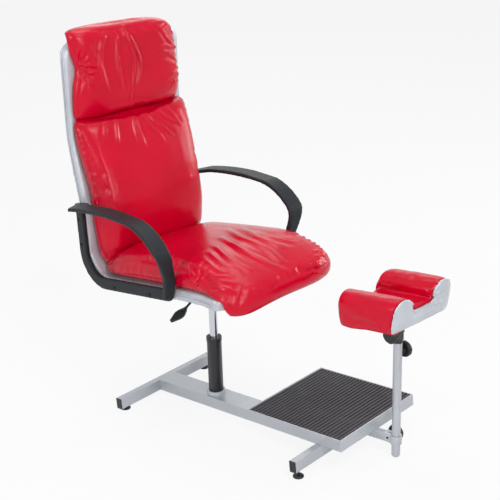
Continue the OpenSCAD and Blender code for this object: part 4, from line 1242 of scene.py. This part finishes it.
@dataclass
class DressedNodes:
    """The CAD nodes that stay as they are and get a finish and softened edges."""

    segments: int = 2
    sharp: float = 40.0

    def build(self, nodes: Mapping[str, bpy.types.Object], slots: Mapping[str, str]) -> None:
        """Dresses the nodes.

        Args:
            nodes: The CAD nodes by name.
            slots: Each node's material slot.
        """
        coats = {coat.slot: coat for coat in Coats}
        widths = {name: width for width, names in EDGE_WIDTHS.items() for name in names}
        for name, node in nodes.items():
            coat = coats[slots[name]]
            node.data.materials.clear()
            node.data.materials.append(material_of(coat.value))
            if name in widths and not node.hide_render:
                self._soften(node, widths[name])
            log.info("%s: %s", name, coat.slot)

    def _soften(self, node: bpy.types.Object, width: float) -> None:
        """Rounds a node's sharp edges by modifiers alone."""
        weld = node.modifiers.new("Weld", "WELD")
        weld.merge_threshold = MERGE_REACH
        bevel = node.modifiers.new("Bevel", "BEVEL")
        bevel.width = width
        bevel.segments = self.segments
        bevel.limit_method = "ANGLE"
        bevel.angle_limit = math.radians(self.sharp)
        bevel.use_clamp_overlap = True


@dataclass(frozen=True)
class SoftBox:
    """A rectangular studio lamp: its place, what it looks at, its width and height, its watts."""

    name: str
    place: Point
    target: Point
    size: tuple[float, float]
    power: float

    def build(self) -> None:
        """Hangs the lamp."""
        data = bpy.data.lights.new(self.name, "AREA")
        data.shape = "RECTANGLE"
        data.size, data.size_y = self.size
        data.energy = self.power
        lamp = bpy.data.objects.new(self.name, data)
        bpy.context.scene.collection.objects.link(lamp)
        lamp.location = self.place
        aim = Vector(self.target) - Vector(self.place)
        lamp.rotation_euler = aim.to_track_quat("-Z", "Y").to_euler()


SOFT_BOXES = (
    SoftBox("front_lamp", (-1.9, -2.9, 1.5), (0.0, 0.3, 0.9), (0.3, 1.5), 40),
    SoftBox("key_lamp", (-1.0, -2.6, 4.4), (0.0, 0.0, 0.7), (1.4, 1.4), 76),
    SoftBox("left_lamp", (-4.2, 0.6, 1.8), (0.0, 0.0, 0.7), (0.8, 1.6), 54),
    SoftBox("side_lamp", (3.4, -1.3, 1.5), (0.0, 0.0, 0.8), (0.6, 1.5), 45),
    SoftBox("top_lamp", (0.4, 0.8, 4.2), (0.0, 0.0, 0.5), (2.0, 2.0), 50),
    SoftBox("back_lamp", (3.6, 3.3, 3.2), (0.0, 0.0, 0.5), (2.4, 2.0), 26),
)


@dataclass
class Studio:
    """Camera, lamps, world and floor."""

    place: Point = (-2.55825, -2.41025, 2.0557)
    back: Point = (-0.67703, -0.63216, 0.37684)
    roll: float = -1.8
    lens: float = 85.74
    sensor: float = 36.0
    floor_size: float = 30.0
    room_light: float = 0.25
    wall_tone: Colour = (0.98, 0.98, 0.985, 1.0)
    floor_tone: Colour = (0.985, 0.985, 0.99, 1.0)
    floor_share: float = 0.9
    floor_paint: tuple[Colour, Colour] = ((0.86, 0.86, 0.87, 1.0), (0.88, 0.88, 0.885, 1.0))

    def build(self) -> None:
        """Makes the whole studio."""
        self._camera()
        self._world()
        self._floor()
        for lamp in SOFT_BOXES:
            lamp.build()
        bpy.context.scene.view_settings.view_transform = "Standard"

    def _camera(self) -> None:
        """Sets the camera at the photograph's place."""
        back = Vector(self.back).normalized()
        right = (-back).cross(Vector((0, 0, 1))).normalized()
        up = right.cross(-back)
        roll = math.radians(self.roll)
        across = right * math.cos(roll) + up * math.sin(roll)
        upward = up * math.cos(roll) - right * math.sin(roll)
        data = bpy.data.cameras.new("camera")
        data.lens = self.lens
        data.sensor_width = self.sensor
        camera = bpy.data.objects.new("camera", data)
        bpy.context.scene.collection.objects.link(camera)
        turn = Matrix((across, upward, back)).transposed().to_4x4()
        camera.matrix_world = Matrix.Translation(self.place) @ turn
        bpy.context.scene.camera = camera

    def _world(self) -> None:
        """Lights the room evenly and shows its walls white, in metal too."""
        world = bpy.data.worlds.new("studio_world")
        world.use_nodes = True
        tree = world.node_tree
        shade = tree.nodes["Background"]
        shade.inputs["Color"].default_value = (1.0, 1.0, 1.0, 1.0)
        shade.inputs["Strength"].default_value = self.room_light
        shown = tree.nodes.new("ShaderNodeBackground")
        shown.inputs["Color"].default_value = self.wall_tone
        shown.inputs["Strength"].default_value = 1.0
        path = tree.nodes.new("ShaderNodeLightPath")
        seen = path.outputs["Is Camera Ray"]
        for kind in ("Is Glossy Ray", "Is Transmission Ray"):
            either = tree.nodes.new("ShaderNodeMath")
            either.operation = "MAXIMUM"
            tree.links.new(seen, either.inputs[0])
            tree.links.new(path.outputs[kind], either.inputs[1])
            seen = either.outputs[0]
        mix = tree.nodes.new("ShaderNodeMixShader")
        tree.links.new(seen, mix.inputs[0])
        tree.links.new(shade.outputs[0], mix.inputs[1])
        tree.links.new(shown.outputs[0], mix.inputs[2])
        tree.links.new(mix.outputs[0], tree.nodes["World Output"].inputs["Surface"])
        bpy.context.scene.world = world

    def _floor(self) -> None:
        """Lays a pale floor that keeps the station's soft shadow."""
        bpy.ops.mesh.primitive_plane_add(size=self.floor_size, location=(0, 0, 0))
        floor = bpy.context.object
        floor.name = "studio_floor"
        graph = Graph("studio_floor_paint")
        paint = graph.mix(graph.noise(scale=2.0), *self.floor_paint)
        matt = graph.node("ShaderNodeBsdfDiffuse", None, {"Color": paint})
        glow = graph.node("ShaderNodeEmission", None, {"Color": self.floor_tone, "Strength": 1.0})
        rays = graph.node("ShaderNodeLightPath")
        seen = rays.other("Is Camera Ray") + rays.other("Is Glossy Ray")
        seen = (seen + rays.other("Is Transmission Ray")) * self.floor_share
        mixed = graph.node("ShaderNodeMixShader", None, {0: seen, 1: matt, 2: glow})
        graph.node("ShaderNodeOutputMaterial", None, {"Surface": mixed})
        floor.data.materials.append(graph.material)


def main() -> None:
    """Builds the station in order and reports each piece."""
    logging.basicConfig(level=logging.INFO, format="%(message)s")
    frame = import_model()
    Studio().build()
    ChairCushions().build()
    SaddleCushion().build()
    Shell().build()
    Armrests().build()
    slots = {part["node"]: part["material_slot"] for part in frame["record"]["subparts"]}
    DressedNodes().build(frame["nodes"], slots)


if __name__ == "__main__":
    main()
